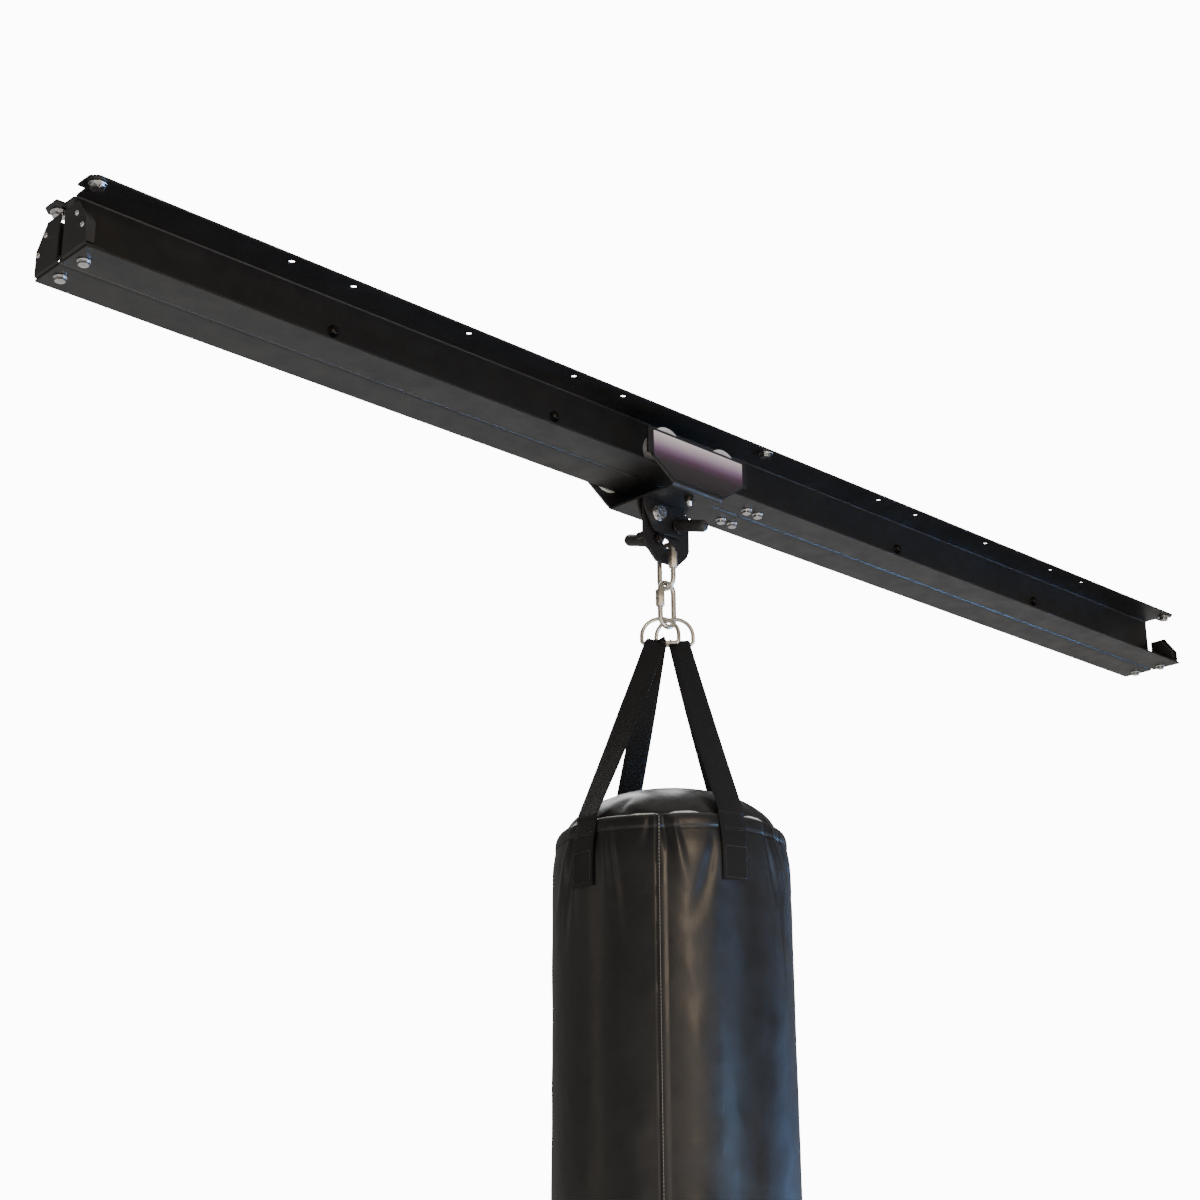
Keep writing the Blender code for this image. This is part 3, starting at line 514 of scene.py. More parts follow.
def rail_fasteners():
    for number in range(1, 5):
        node = "web_bolt_" + str(number)
        middle = centre(node)
        bm = bmesh.new()
        dome = [(0, 0.5), (0, 8.7), (0.3, 9.0), (1.3, 9.0), (1.6, 8.7), (1.6, 7.4)]
        for k in range(7):
            angle = math.pi / 2 * k / 6
            dome.append((1.6 + 5.0 * math.sin(angle), 2.4 + 5.0 * math.cos(angle)))
        dome += [(5.6, 1.9, "hex"), (5.4, 0.4)]
        add_turned(bm, (middle.x, -WEB_FACE, middle.z), (0, -1, 0), dome)
        add_turned(bm, (middle.x, WEB_FACE, middle.z), (0, 1, 0), nut_profile(7.5, 6.5, 0.0, 4.0, 3.0))
        piece("web_bolt_fine_" + str(number), bm, "black_steel", "rail", [node])

    for side in ("near", "far"):
        for end in ("left", "right"):
            node = "splice_bolt_" + side + "_" + end
            middle, high = centre(node), high_of(node)
            bm = bmesh.new()
            add_turned(bm, (middle.x, middle.y, LOW_FLANGE_Z - 0.1), -UP, head_profile(*HEX_M8))
            add_turned(bm, (middle.x, middle.y, high.z - 9.0), UP, nut_profile(7.3, 6.0, 0.0, 4.0, 2.4))
            piece(node + "_fine", bm, "zinc", "rail", [node])

            sign_x = -1 if end == "left" else 1
            sign_y = -1 if side == "near" else 1
            x, y = sign_x * END_BOLT_X, sign_y * END_BOLT_Y
            bm = bmesh.new()
            add_turned(bm, (x, y, LOW_FLANGE_Z), -UP, head_profile(*HEX_M8))
            add_turned(bm, (x, y, -95.0), UP, nut_profile(7.3, 6.0, 0.0, 4.0, 2.0))
            piece("end_stop_bolt_" + side + "_" + end, bm, "zinc", "rail")

            bm = bmesh.new()
            add_turned(bm, (x, sign_y * END_LAG_Y, TOP_FLANGE_Z), -UP, head_profile(*HEX_M10))
            piece("lag_screw_" + side + "_" + end, bm, "zinc", "rail")

    for side, x, y in (("near", 12, -50), ("far", -12, 50)):
        bm = bmesh.new()
        add_turned(bm, (x, y, TOP_FLANGE_Z), -UP, head_profile(*HEX_M10))
        piece("lag_screw_" + side + "_middle", bm, "zinc", "rail")


def bumper_screws():
    """Small screws through each end plate into its rubber block."""
    for side, sign_y in (("near", -1), ("far", 1)):
        for end, sign_x in (("left", -1), ("right", 1)):
            stop = "end_stop_" + side + "_" + end
            low, high = low_of(stop), high_of(stop)
            face = (low.x if sign_x < 0 else high.x) + sign_x * 0.1
            bm = bmesh.new()
            for y, drop in ((37.5, 18.0), (53.0, 40.0)):
                head = [(0, 0.3), (0, 3.6), (0.6, 3.6), (1.6, 2.9), (2.2, 1.6), (1.7, 1.3, "hex"), (1.5, 0.2)]
                add_turned(bm, (face, sign_y * y, high.z - drop), (sign_x, 0, 0), head, 24)
            piece("bumper_screws_" + side + "_" + end, bm, "zinc", "rail")


def finish_cad_nodes():
    """Give every CAD node that stays its detailed material, and soften its edges."""
    for name, obj in NODES.items():
        row = next(s for s in frame["record"]["subparts"] if s["node"] == name)
        slot = row["material_slot"]
        kind = "lining" if slot == "filling" else slot
        obj.data.materials.clear()
        obj.data.materials.append(MATERIALS[kind])
        for polygon in obj.data.polygons:
            polygon.material_index = 0
            polygon.use_smooth = True
        weld = obj.modifiers.new("weld", "WELD")
        weld.merge_threshold = 0.00002
        bevel = obj.modifiers.new("bevel", "BEVEL")
        bevel.width = 0.0005
        bevel.segments = 2
        bevel.limit_method = "ANGLE"
        bevel.angle_limit = math.radians(50)
        even = obj.modifiers.new("even", "WEIGHTED_NORMAL")
        even.weight = 80


# ---------------------------------------------------------------- trolley

def running_gear():
    for side, sign in (("near", -1), ("far", 1)):
        for end in ("left", "right"):
            tail = side + "_" + end
            body = "wheel_set_" + tail
            middle = centre("wheel_" + tail)
            start = (middle.x, 0, middle.z)
            axis = (0, sign, 0)
            bm = bmesh.new()
            profile = rounded([
                (49, 12), (40, 12), (40, 16), (41.2, 17), (41.2, 23), (40, 24), (40, 26.2), (40.8, 26.8),
                (61.6, 26.8), (62.6, 27.8), (62.6, 32.2), (63.4, 33), (66, 33), (67.2, 31.8),
                (67.2, 27), (65.6, 25.5), (65.6, 19), (67.2, 17.6), (67.2, 13.4), (49, 13.4),
            ], 0.5)
            add_turned(bm, start, axis, profile, 72, closed=True)
            piece("wheel_fine_" + tail, bm, "wheel_nylon", body, ["wheel_" + tail])

            bm = bmesh.new()
            race = rounded([
                (49.4, 5.4), (49.4, 7.6), (50.2, 8.0), (50.2, 10.6), (49.4, 11.0), (49.4, 12.9),
                (64, 12.9), (64, 11.0), (63.2, 10.6), (63.2, 8.0), (64, 7.6), (64, 5.4),
            ], 0.25, 2)
            add_turned(bm, start, axis, race, 48, closed=True)
            piece("bearing_fine_" + tail, bm, "zinc", body, ["bearing_" + tail])

            bm = bmesh.new()
            stub = rounded([(0.3, 0.4), (0.3, 8), (3.7, 8), (3.7, 5), (19.3, 5)], 0.4)
            stub += [(19.3, 7.6), (19.8, 8.4, "hex"), (25.6, 8.4, "hex"), (26.3, 7.4)]
            stub += [(26.3, 5.0), (26.4, 4.6), *threaded(26.4, 29.0, 5.0), (29.3, 3.8), (29.3, 0.4)]
            add_turned(bm, (middle.x, sign * 68, middle.z), (0, -sign, 0), stub)
            piece("axle_fine_" + tail, bm, "zinc", "trolley", ["axle_" + tail])


EAR_FACE = 8.3                 # just outside the hanger's ears, from the middle
TROLLEY_FLOOR_Z = -131.4       # just under the trolley's floor


def hanger():
    middle = centre("cross_bolt")
    bm = bmesh.new()
    add_turned(bm, (middle.x, -EAR_FACE, middle.z), (0, -1, 0), head_profile(11.0, 7.5, 12.5, 2.0))
    add_turned(bm, (middle.x, -EAR_FACE, middle.z), (0, 1, 0), [(0.1, 0.4), (0.1, 6), (16.5, 6), (16.5, 0.4)])
    washer = rounded([(0, 0.4), (0, 12.5), (2, 12.5), (2, 6)], 0.35)
    add_turned(bm, (middle.x, EAR_FACE, middle.z), (0, 1, 0), washer)
    add_turned(bm, (middle.x, EAR_FACE, middle.z), (0, 1, 0), nut_profile(11.0, 9.0, 2.0, 6.0, 4.0))
    piece("cross_bolt_fine", bm, "zinc", "trolley", ["cross_bolt"])

    middle, low = centre("lock_screw"), low_of("lock_screw")
    bm = bmesh.new()
    screw = [(0, 0.4), (0, 2.9), (0.9, 3.7)] + threaded(1.0, 30.0, 4.0)
    screw += rounded([(30.5, 3.8), (36.5, 3.8), (36.5, 7), (39, 7), (39, 0.4)], 0.5)
    add_turned(bm, (middle.x, middle.y, low.z), UP, screw)
    piece("lock_screw_fine", bm, "zinc", "lock_screw", ["lock_screw"])
    middle, high = centre("lock_screw_nut"), high_of("lock_screw_nut")
    bm = bmesh.new()
    nut = [(0, 4.4), (0, 7.2), (0.6, 8, "hex"), (5.6, 8, "hex"), (6.5, 6.9), (6.5, 4.8), (6.1, 4.4)]
    add_turned(bm, (middle.x, middle.y, high.z), -UP, nut, closed=True)
    piece("lock_screw_nut_fine", bm, "black_steel", "trolley", ["lock_screw_nut"])
    middle = centre("floor_screw")
    foot = (middle.x, middle.y, TROLLEY_FLOOR_Z)
    bm = bmesh.new()
    add_turned(bm, foot, -UP, head_profile(5.6, 4.2, 6.6, 0.9))
    add_turned(bm, foot, UP, threaded(0.1, 9.8, 3.0, 1.0) + [(9.9, 0.3)])
    piece("floor_screw_fine", bm, "zinc", "trolley", ["floor_screw"])


PEG_TILT = math.radians(17.0)
# Name, x and z of the root, length and side
PEGS = (("near", -154, -160, 65, -1), ("far", -191, -191, 59, 1))


def pegs():
    """Rubber-sleeved pegs: the near one droops away from its bolt and the far one rises."""
    for name, x, z, length, sign in PEGS:
        root = Vector((x, sign * 8, z))
        direction = Vector((0, sign * math.cos(PEG_TILT), sign * math.sin(PEG_TILT)))
        bm = bmesh.new()
        sleeve = [(8.4, 5.2), (8.4, 9.0), (8.9, 9.5), (14, 9.6), (length - 24, 9.4), (length - 9, 9.6)]
        for k in range(9):
            angle = math.pi / 2 * k / 8
            sleeve.append((length - 8 + 8 * math.sin(angle), 2.6 + 6.9 * math.cos(angle)))
        sleeve += [(length - 0.7, 1.6), (length - 0.9, 0.4)]
        add_turned(bm, root, direction, sleeve, 40)
        piece(name + "_peg_sleeve_fine", bm, "rubber", "trolley", [name + "_peg_sleeve"])

        bm = bmesh.new()
        inner = EAR_FACE if sign < 0 else 2.3
        collar = rounded([
            (0.2, 0.4), (0.2, 4.8), (5, 4.8), (5, 12.5), (8, 12.5), (8, 4.8), (20, 4.8), (20, 0.4),
        ], 0.6)
        add_turned(bm, root, direction, collar, 48)
        shank = [(-inner, 0.4), (-inner, 5), (8.5, 5), (8.5, 0.4)]
        add_turned(bm, (x, 0, z), (0, sign, 0), shank)
        add_turned(bm, (x, -sign * inner, z), (0, -sign, 0), nut_profile(8.6, 8.0, 0.0, 5.0, 2.6))
        piece(name + "_peg_bolt_fine", bm, "black_steel", "trolley", [name + "_peg_bolt"])


# ---------------------------------------------------------------- quick links and D-rings

LINK_HALF_WIDTH = 14.5
LINK_WIRE = 4.0
LINK_PITCH = 70.0
OPENING_DROP = 21.0
NUT_DROP = 40.5
NUT_LENGTH = 26.0


def quick_link(which, across, leg):
    """A long quick link; across is the direction over its two legs and leg the side with the nut."""
    node = which + "_link"
    top = high_of(node).z - LINK_WIRE
    across = Vector(across)
    middle = Vector((centre(node).x, 0, 0))
    straight_top = top - LINK_HALF_WIDTH
    straight_low = top - LINK_PITCH + LINK_HALF_WIDTH
    route = [(leg * LINK_HALF_WIDTH, top - OPENING_DROP + 4.5)]
    for way, level in ((1, straight_top), (-1, straight_low)):
        for k in range(25):
            angle = math.pi * k / 24
            reach, rise = LINK_HALF_WIDTH * math.cos(angle), LINK_HALF_WIDTH * math.sin(angle)
            route.append((way * leg * reach, level + way * rise))
    route.append((leg * LINK_HALF_WIDTH, top - OPENING_DROP - 4.5))
    points = [middle + across * a + UP * z for a, z in route]
    bm = bmesh.new()
    add_tube(bm, points, LINK_WIRE, across.cross(UP), False, 24)
    leg_foot = middle + across * leg * LINK_HALF_WIDTH
    thread_top = top - NUT_DROP - 1.0
    add_turned(bm, leg_foot + UP * thread_top, -UP, threaded(0.0, 8.0, 4.12, 1.2, 0.35), 32)
    piece(node + "_fine", bm, "zinc_warm", node, [node])

    bm = bmesh.new()
    nut = [
        (0, 4.35), (0, 6.0), (0.9, 7.0, "hex"), (1.3, 7.2, "hex"), (NUT_LENGTH - 1.3, 7.2, "hex"),
        (NUT_LENGTH - 0.9, 7.0, "hex"), (NUT_LENGTH, 6.0), (NUT_LENGTH, 4.35),
    ]
    add_turned(bm, leg_foot + UP * (top - NUT_DROP), UP, nut, closed=True)
    piece(node + "_nut_fine", bm, "zinc_warm", node + "_nut", [node + "_nut"])


def bag_point(u, f, z):
    """A point of the bag's own frame: u across it, f to its front, z up, from its axis."""
    across = Vector((math.cos(BAG_YAW), math.sin(BAG_YAW), 0))
    front = Vector((math.sin(BAG_YAW), -math.cos(BAG_YAW), 0))
    return Vector((AXIS_MM, 0, z)) + across * u + front * f


RING_WIRE = 3.0
RING_TOP_Z = high_of("d_ring_left").z - RING_WIRE
RING_HALF_WIDTH = 28.0
RING_SIDE = 12.0
RING_CORNER = 5.0
RING_BAR_Z = RING_TOP_Z - RING_HALF_WIDTH - RING_SIDE
RING_TOP_F = 3.2
RING_BAR_F = 6.5
RING_SHIFT_U = 10.5


def d_ring(side, name):
    lean = math.atan2(RING_BAR_F - RING_TOP_F, RING_TOP_Z - RING_BAR_Z)
    path = []
    for k in range(41):
        angle = math.pi * k / 40
        path.append((RING_HALF_WIDTH * math.cos(angle), -RING_HALF_WIDTH * (1 - math.sin(angle))))
    base = -(RING_HALF_WIDTH + RING_SIDE)
    for end in (-1, 1):
        for k in range(9):
            angle = math.pi / 2 * (k / 8 if end < 0 else 1 - k / 8)
            u = end * (RING_HALF_WIDTH - RING_CORNER + RING_CORNER * math.cos(angle))
            path.append((u, base + RING_CORNER * (1 - math.sin(angle))))
    points = []
    for u, drop in path:
        f = -side * (RING_TOP_F - drop * math.sin(lean))
        points.append(bag_point(side * RING_SHIFT_U + u, f, RING_TOP_Z + drop * math.cos(lean)))
    normal = (points[10] - points[0]).cross(points[30] - points[0])
    bm = bmesh.new()
    add_tube(bm, points, RING_WIRE, normal, True, 20)
    weld, after = points[44:46] if side > 0 else points[52:54]
    bead = [(-2.6, 2.4), (-1.9, 3.0), (-1.0, 3.5), (0, 3.7), (1.0, 3.5), (1.9, 3.0), (2.6, 2.4)]
    add_turned(bm, weld, after - weld, bead, 20)
    piece(name + "_fine", bm, "zinc_warm", "bag", [name])


# ---------------------------------------------------------------- straps

STRAP_FRONT_ANGLES = {-1: math.radians(48.2), 1: math.radians(55.5)}
STRAP_REAR_ANGLE = math.radians(56.9)
STRAP_END_Z = low_of("strap_left").z
STRAP_WIDTH = 42.0
LOOP_WIDTH = 32.0
STRAP_THICKNESS = 2.6
STRAP_LEVELS = (STRAP_END_Z, -735.0, -715.0, -690.0, -672.0, -660.0, -652.0)


def smooth_line(stations, steps):
    """Catmull-Rom points through stations, each a tuple of a point, a width and a direction across."""
    made = []
    count = len(stations)
    for i in range(count - 1):
        p0 = stations[max(i - 1, 0)]
        p1, p2 = stations[i], stations[i + 1]
        p3 = stations[min(i + 2, count - 1)]
        for k in range(steps):
            t = k / steps
            point = (
                p1[0] * 2 + (p2[0] - p0[0]) * t + (p0[0] * 2 - p1[0] * 5 + p2[0] * 4 - p3[0]) * t ** 2
                + (p1[0] * 3 - p0[0] - p2[0] * 3 + p3[0]) * t ** 3
            ) / 2
            made.append((point, p1[1] + (p2[1] - p1[1]) * t, p1[2].lerp(p2[2], t).normalized()))
    made.append(stations[-1])
    return made


def leg_way(side, front):
    """Direction of a strap's front or rear leg from the bag's axis, in the bag's own frame."""
    angle = STRAP_FRONT_ANGLES[side] if front > 0 else -STRAP_REAR_ANGLE
    return Vector((side * math.cos(angle), math.sin(angle), 0))


def strap_line(side):
    """Centre line of one strap, over its ring's bar, in the bag's own frame."""
    bar_f = -side * RING_BAR_F
    bar_u = side * (LOOP_WIDTH / 2 + 1.5)
    over = 3.4 + STRAP_THICKNESS / 2
    line = []
    for front in (1, -1):
        out = leg_way(side, front)
        across = Vector((out.y * front, -out.x * front, 0))
        if across.x * side < 0:
            across = -across
        leg = []
        for z in STRAP_LEVELS:
            radius = strap_base_radius(z) + 0.6 + STRAP_THICKNESS / 2
            leg.append((out * radius + UP * z, STRAP_WIDTH, across))
        rim = out * (RIM_RADIUS_MM + 1.2) + UP * (RIM_MM + 7)
        top = Vector((bar_u, bar_f + front * over, RING_BAR_Z))
        for t in (0.0, 0.12, 0.3, 0.5, 0.7, 0.85, 0.94, 1.0):
            wide = STRAP_WIDTH + (LOOP_WIDTH - STRAP_WIDTH) * t
            hang = rim.lerp(top, t) - out * 2.2 * math.sin(math.pi * t)
            leg.append((hang, wide, across.lerp(Vector((side, 0, 0)), t).normalized()))
        if front < 0:
            leg.reverse()
        line += leg
        if front > 0:
            for k in range(1, 12):
                turn = math.pi * k / 12
                spot = Vector((bar_u, bar_f + over * math.cos(turn), RING_BAR_Z + over * math.sin(turn)))
                line.append((spot, LOOP_WIDTH, Vector((side, 0, 0))))
    return line


def strap_base_radius(z):
    """Outside of the shell under a strap, which holds it in at the rim."""
    below = min(max((RIM_MM - z) / 60.0, 0.0), 1.0)
    return (RIM_RADIUS + (BAG_RADIUS - RIM_RADIUS) * math.sin(below * math.pi / 2)) / MM


def strap(side, name):
    line = smooth_line(strap_line(side), 4)
    columns = 8
    bm = bmesh.new()
    weave = bm.loops.layers.uv.new("weave")
    rings = []
    travelled = 0.0
    for i, (point, wide, across) in enumerate(line):
        tangent = (line[min(i + 1, len(line) - 1)][0] - line[max(i - 1, 0)][0]).normalized()
        if i:
            travelled += (point - line[i - 1][0]).length
        across = (across - tangent * across.dot(tangent)).normalized()
        out = tangent.cross(across)
        wander = noise.noise(Vector((travelled * 0.012, side * 3.1, 7.0))) * 0.5
        section = []
        for layer in (1, -1):
            for k in range(columns + 1):
                share = (k / columns) * 2 - 1
                edge = 1 - 0.75 * abs(share) ** 12
                lift = layer * STRAP_THICKNESS / 2 * edge + wander * share + 0.4 * (1 - share ** 2)
                spot = point + across * (share * wide / 2 * layer) + out * lift
                vert = bm.verts.new(bag_point(spot.x, spot.y, spot.z))
                section.append((vert, share * layer * wide / 2, travelled))
        rings.append(section)
    size = len(rings[0])
    for one, two in zip(rings, rings[1:]):
        for k in range(size):
            n = (k + 1) % size
            corners = (one[k], one[n], two[n], two[k])
            face = bm.faces.new([c[0] for c in corners])
            for loop, corner in zip(face.loops, corners):
                loop[weave].uv = (corner[1] * MM, corner[2] * MM)
    bm.faces.new([c[0] for c in rings[0]])
    bm.faces.new([c[0] for c in rings[-1]][::-1])
    piece(name + "_fine", bm, "webbing", "bag", [name], sharp=60.0)

    bm = bmesh.new()
    for front in (1, -1):
        out = leg_way(side, front)
        wide = Vector((-out.y, out.x, 0))

        def on_strap(a, z):
            radius = strap_base_radius(z) + 0.75 + STRAP_THICKNESS
            spot = out * radius + wide * a + UP * z
            return bag_point(spot.x, spot.y, spot.z)

        left, right, low, high = -17.0, 17.0, STRAP_END_Z + 4.0, -700.0
        corners = [on_strap(left, low), on_strap(right, low), on_strap(right, high), on_strap(left, high)]
        add_stitches(bm, corners + corners[:1])
        for z in (-676.0, -672.5):
            add_stitches(bm, [on_strap(left, z), on_strap(right, z)])
    piece(name + "_stitches", bm, "dark_thread", "bag")


# ---------------------------------------------------------------- bag

SEAM_ANGLE = math.radians(-142.3)
HEM_DEPTH = 21.0
SHELL_SKIN = 2.4

# Folds in the shell: azimuth and depth below the rim at both ends, width, height, in degrees and mm
FOLDS = (
    (-139.5, 4, -137.0, 62, 7, -5.5), (-134.0, 16, -128.5, 120, 9, 3.2),
    (-146.0, 6, -148.0, 60, 6, -2.2), (-84.0, 26, -63.0, 205, 10, -5.0),
    (-78.0, 18, -55.0, 170, 9, 4.0), (-70.0, 20, -42.0, 120, 8, -3.0),
    (-116.0, 44, -127.0, 170, 11, -2.6), (-166.0, 40, -158.0, 210, 11, -3.2),
    (-169.0, 30, -164.0, 150, 9, 2.4), (-190.0, 30, -200.0, 200, 11, -4.0),
    (-193.5, 24, -209.0, 150, 9, 3.0), (-187.0, 44, -192.0, 240, 10, 2.0),
    (62.0, 26, 50.0, 190, 10, -4.2), (58.0, 18, 42.0, 150, 9, 3.0),
    (85.0, 30, 97.0, 200, 11, -4.0), (90.0, 20, 106.0, 150, 9, 3.0),
    (19.0, 28, 31.0, 190, 10, -4.0), (24.0, 20, 40.0, 150, 9, 3.0),
    (-4.0, 30, -15.0, 190, 10, -4.0), (-8.5, 20, -24.0, 150, 9, 3.0),
    (130.0, 10, 127.0, 90, 8, -2.4),
)


def wrapped(angle):
    return (angle + 180.0) % 360.0 - 180.0


def fold_height(degrees, below):
    """Sum of the folds at an azimuth and a depth below the rim."""
    total = 0.0
    for a_top, d_top, a_low, d_low, width, height in FOLDS:
        span = (below - d_top) / (d_low - d_top)
        if span < -0.15 or span > 1.0:
            continue
        fade = math.sin(math.pi * min(max((span + 0.15) / 1.15, 0.0), 1.0) ** 0.65) ** 1.3
        centre_angle = a_top + (a_low - a_top) * max(span, 0.0) ** 1.25
        away = math.radians(wrapped(degrees - centre_angle)) * BAG_RADIUS / MM
        size = width * (0.55 + 0.9 * max(span, 0.0))
        total += height * fade * math.exp(-(away / size) ** 2)
    return total


def shell_radius(degrees, below):
    """Outside radius of the shell, in mm, by azimuth and depth below the rim."""
    base = (RIM_RADIUS + (BAG_RADIUS - RIM_RADIUS) * math.sin(min(below / 62.0, 1.0) * math.pi / 2)) / MM
    foot = min(max((HEIGHT_MM - below) / 25.0, 0.0), 1.0)
    base -= 8.0 * (1 - foot) ** 2
    angle = math.radians(degrees)
    spot = Vector((math.cos(angle) * 2.2, math.sin(angle) * 2.2, below / 120.0))
    lumps = noise.fractal(spot, 1.1, 2.1, 3) * 1.2 * min(1.0, below / 80.0) * foot
    fine = noise.noise(spot * 3.1 + Vector((5, 2, 9))) * 0.2
    hem = 0.7 if below < HEM_DEPTH else 0.0
    hem -= 0.9 * math.exp(-((below - HEM_DEPTH) / 1.6) ** 2)
    flare = 0.0
    for strap_angle in strap_angles():
        away = abs(wrapped(degrees - strap_angle))
        flare -= 2.4 * math.exp(-(away / 9.0) ** 4) * math.exp(-below / 60.0)
    flare += 2.6 * math.exp(-((below - 8.0) / 12.0) ** 2)
    seam_away = math.radians(wrapped(degrees - math.degrees(SEAM_ANGLE))) * BAG_RADIUS / MM
    seam = -1.7 * math.exp(-(seam_away / 1.5) ** 2) + 0.8 * (1.0 if 0 < seam_away < 11 else 0.0)
    seam += 0.9 * math.exp(-((seam_away - 5.0) / 5.0) ** 2)
    return base + lumps + fine + hem + flare + seam + fold_height(degrees, below)


def strap_angles():
    """Azimuths of the four strap legs, in degrees."""
    across = math.degrees(BAG_YAW)
    rear = math.degrees(STRAP_REAR_ANGLE)
    front_left = across + 180 + math.degrees(STRAP_FRONT_ANGLES[-1])
    front_right = across - math.degrees(STRAP_FRONT_ANGLES[1])
    return [wrapped(a) for a in (front_left, front_right, across + rear, across + 180 - rear)]


def rim_height(degrees):
    """The rim dips a little between the straps."""
    away = min(abs(wrapped(degrees - a)) for a in strap_angles())
    return RIM_MM - 3.0 * min(away / 33.0, 1.0) ** 1.5


def from_axis(radius, angle, z):
    """A point at a distance from the bag's axis."""
    return Vector((AXIS_MM + radius * math.cos(angle), radius * math.sin(angle), z))


def on_shell(degrees, below, lift=0.0):
    """A point on the shell's outside, or lifted off it."""
    share = max(0.0, 1 - below / 60.0)
    z = RIM_MM - below + (rim_height(degrees) - RIM_MM) * share
    return from_axis(shell_radius(degrees, below) + lift, math.radians(degrees), z)


def shell_ring(bm, columns, below, lift=0.0):
    return [bm.verts.new(on_shell(360.0 * i / columns - 180.0, below, lift)) for i in range(columns)]


def bag_shell():
    columns = 480
    depths = [0.6, 1.8] + [3.0 + 2.6 * k for k in range(110)]
    step = depths[-1]
    while step < HEIGHT_MM - 8:
        step += 6.5
        depths.append(min(step, HEIGHT_MM - 1.5))
    inner_depths = (0.4, 1.5, 6.0, 20.0, 45.0, 80.0, HEIGHT_MM - 30.0, HEIGHT_MM - 3.0)
    bm = bmesh.new()
    rows = []
    for below in depths:
        rows.append(shell_ring(bm, columns, below, -0.9 / (below + 0.4) if below < 2 else 0.0))
    inner = []
    for below in inner_depths:
        inner.append(shell_ring(bm, columns, below, -SHELL_SKIN + (0.7 if below < 1 else 0.0)))
    chain = inner[::-1] + rows
    skin(bm, chain + chain[:1])
    piece("bag_shell_fine", bm, "leatherette", "bag", ["bag_shell"], sharp=70.0)


def bag_stitching():
    """Thread along the side seam, the hem, and the seam that holds the base."""
    seam = math.degrees(SEAM_ANGLE)
    turn = 360.0 / (2 * math.pi * BAG_RADIUS / MM)
    steps = int((HEIGHT_MM - 18) / 4)
    down = [on_shell(seam + 3.4 * turn, 3.0 + 4.0 * k, 0.1) for k in range(steps)]
    hem = [on_shell(d, HEM_DEPTH - 0.4, 0.25) for d in range(-180, 181)]
    low = [on_shell(d, HEIGHT_MM - 16.0, 0.1) for d in range(-180, 181)]
    bm = bmesh.new()
    add_stitches(bm, down, 3.6, 1.6, 0.42)
    piece("bag_seam_stitches", bm, "light_thread", "bag")
    bm = bmesh.new()
    add_stitches(bm, hem, 3.4, 1.5, 0.4)
    add_stitches(bm, low, 3.6, 1.6, 0.42)
    piece("bag_hem_stitches", bm, "dark_thread", "bag")


def bag_base():
    """Sewn-in base: a disc that bellies down a little, with a rolled edge."""
    columns = 240
    low = BOTTOM_Z / MM
    edge = BAG_RADIUS / MM - 8.0 - SHELL_SKIN
    bm = bmesh.new()
    profile = [(edge, low + 9.0), (edge - 0.4, low + 4.0), (edge - 2.0, low + 1.6), (edge - 5.0, low + 0.8)]
    profile += [(edge * share, low + 0.6) for share in (0.93, 0.86, 0.76, 0.64, 0.5, 0.36, 0.22, 0.1)]
    rings = []
    for number, (radius, z) in enumerate(profile):
        near_edge = math.exp(-((edge - 9 - radius) / 8) ** 2)
        ring = []
        for i in range(columns):
            angle = 2 * math.pi * i / columns
            puck = 0.5 * math.sin(angle * 46 + 1.3 * math.sin(angle * 5)) * near_edge
            spot = Vector((math.cos(angle) * radius * 0.02, math.sin(angle) * radius * 0.02, 3.0))
            lump = (noise.fractal(spot, 0.9, 2.0, 3) + 0.5) * 1.2 if number > 4 else 0.0
            ring.append(bm.verts.new(from_axis(radius, angle, z + max(lump, 0.0) + abs(puck))))
        rings.append(ring)
    skin(bm, rings)
    bm.faces.new(rings[-1])
    top = [bm.verts.new(v.co + Vector((0, 0, 3.0))) for v in rings[0]]
    skin(bm, [top, rings[0]])
    bm.faces.new(top[::-1])
    piece("bag_base_fine", bm, "leatherette", "bag", ["bag_base"], sharp=70.0)


# Azimuth, width and height of each stretch of lining that shows
LINING_PEAKS = (
    (-149.0, 8, 1.8), (-129.0, 8, 2.8), (-89.0, 8, 3.0), (172.0, 7, 3.4), (20.0, 20, 2.6), (120.0, 22, 2.2),
)

# Inset and level of the lining's section, round its folded top
LINING_SECTION = ((0.0, -28.0), (0.0, 0.0), (0.5, 0.85), (1.2, 1.0), (1.9, 0.85), (2.4, 0.0), (2.4, -28.0))


def rim_lining():
    """White backing cloth that shows above the rim in places."""
    columns = 360
    outer = RIM_RADIUS_MM - SHELL_SKIN - 0.3
    bm = bmesh.new()
    rings = []
    for inset, level in LINING_SECTION:
        ring = []
        for i in range(columns):
            degrees = i - 180.0
            rise = -2.0
            for peak, width, height in LINING_PEAKS:
                rise += (height + 2.0) * math.exp(-(wrapped(degrees - peak) / width) ** 4)
            radius = outer - inset + shell_radius(degrees, 4.0) - RIM_RADIUS_MM - 1.6
            z = rim_height(degrees) + (level if level <= 0 else level - 1.0 + rise)
            if level == 0.0:
                z = rim_height(degrees) + min(rise, 4.0) - 1.4
            ring.append(bm.verts.new(from_axis(radius, math.radians(degrees), z)))
        rings.append(ring)
    skin(bm, rings + rings[:1])
    piece("rim_lining_fine", bm, "lining", "bag", ["rim_lining"], sharp=60.0)


CAP_RADIUS = RIM_RADIUS_MM - 6.5
CAP_EDGE_Z = RIM_MM - 6.0
CAP_TOP_Z = high_of("top_cap").z + 1.0


def cap_height(share):
    return CAP_EDGE_Z + (CAP_TOP_Z - CAP_EDGE_Z) * (1 - share ** 2.2) ** 0.6


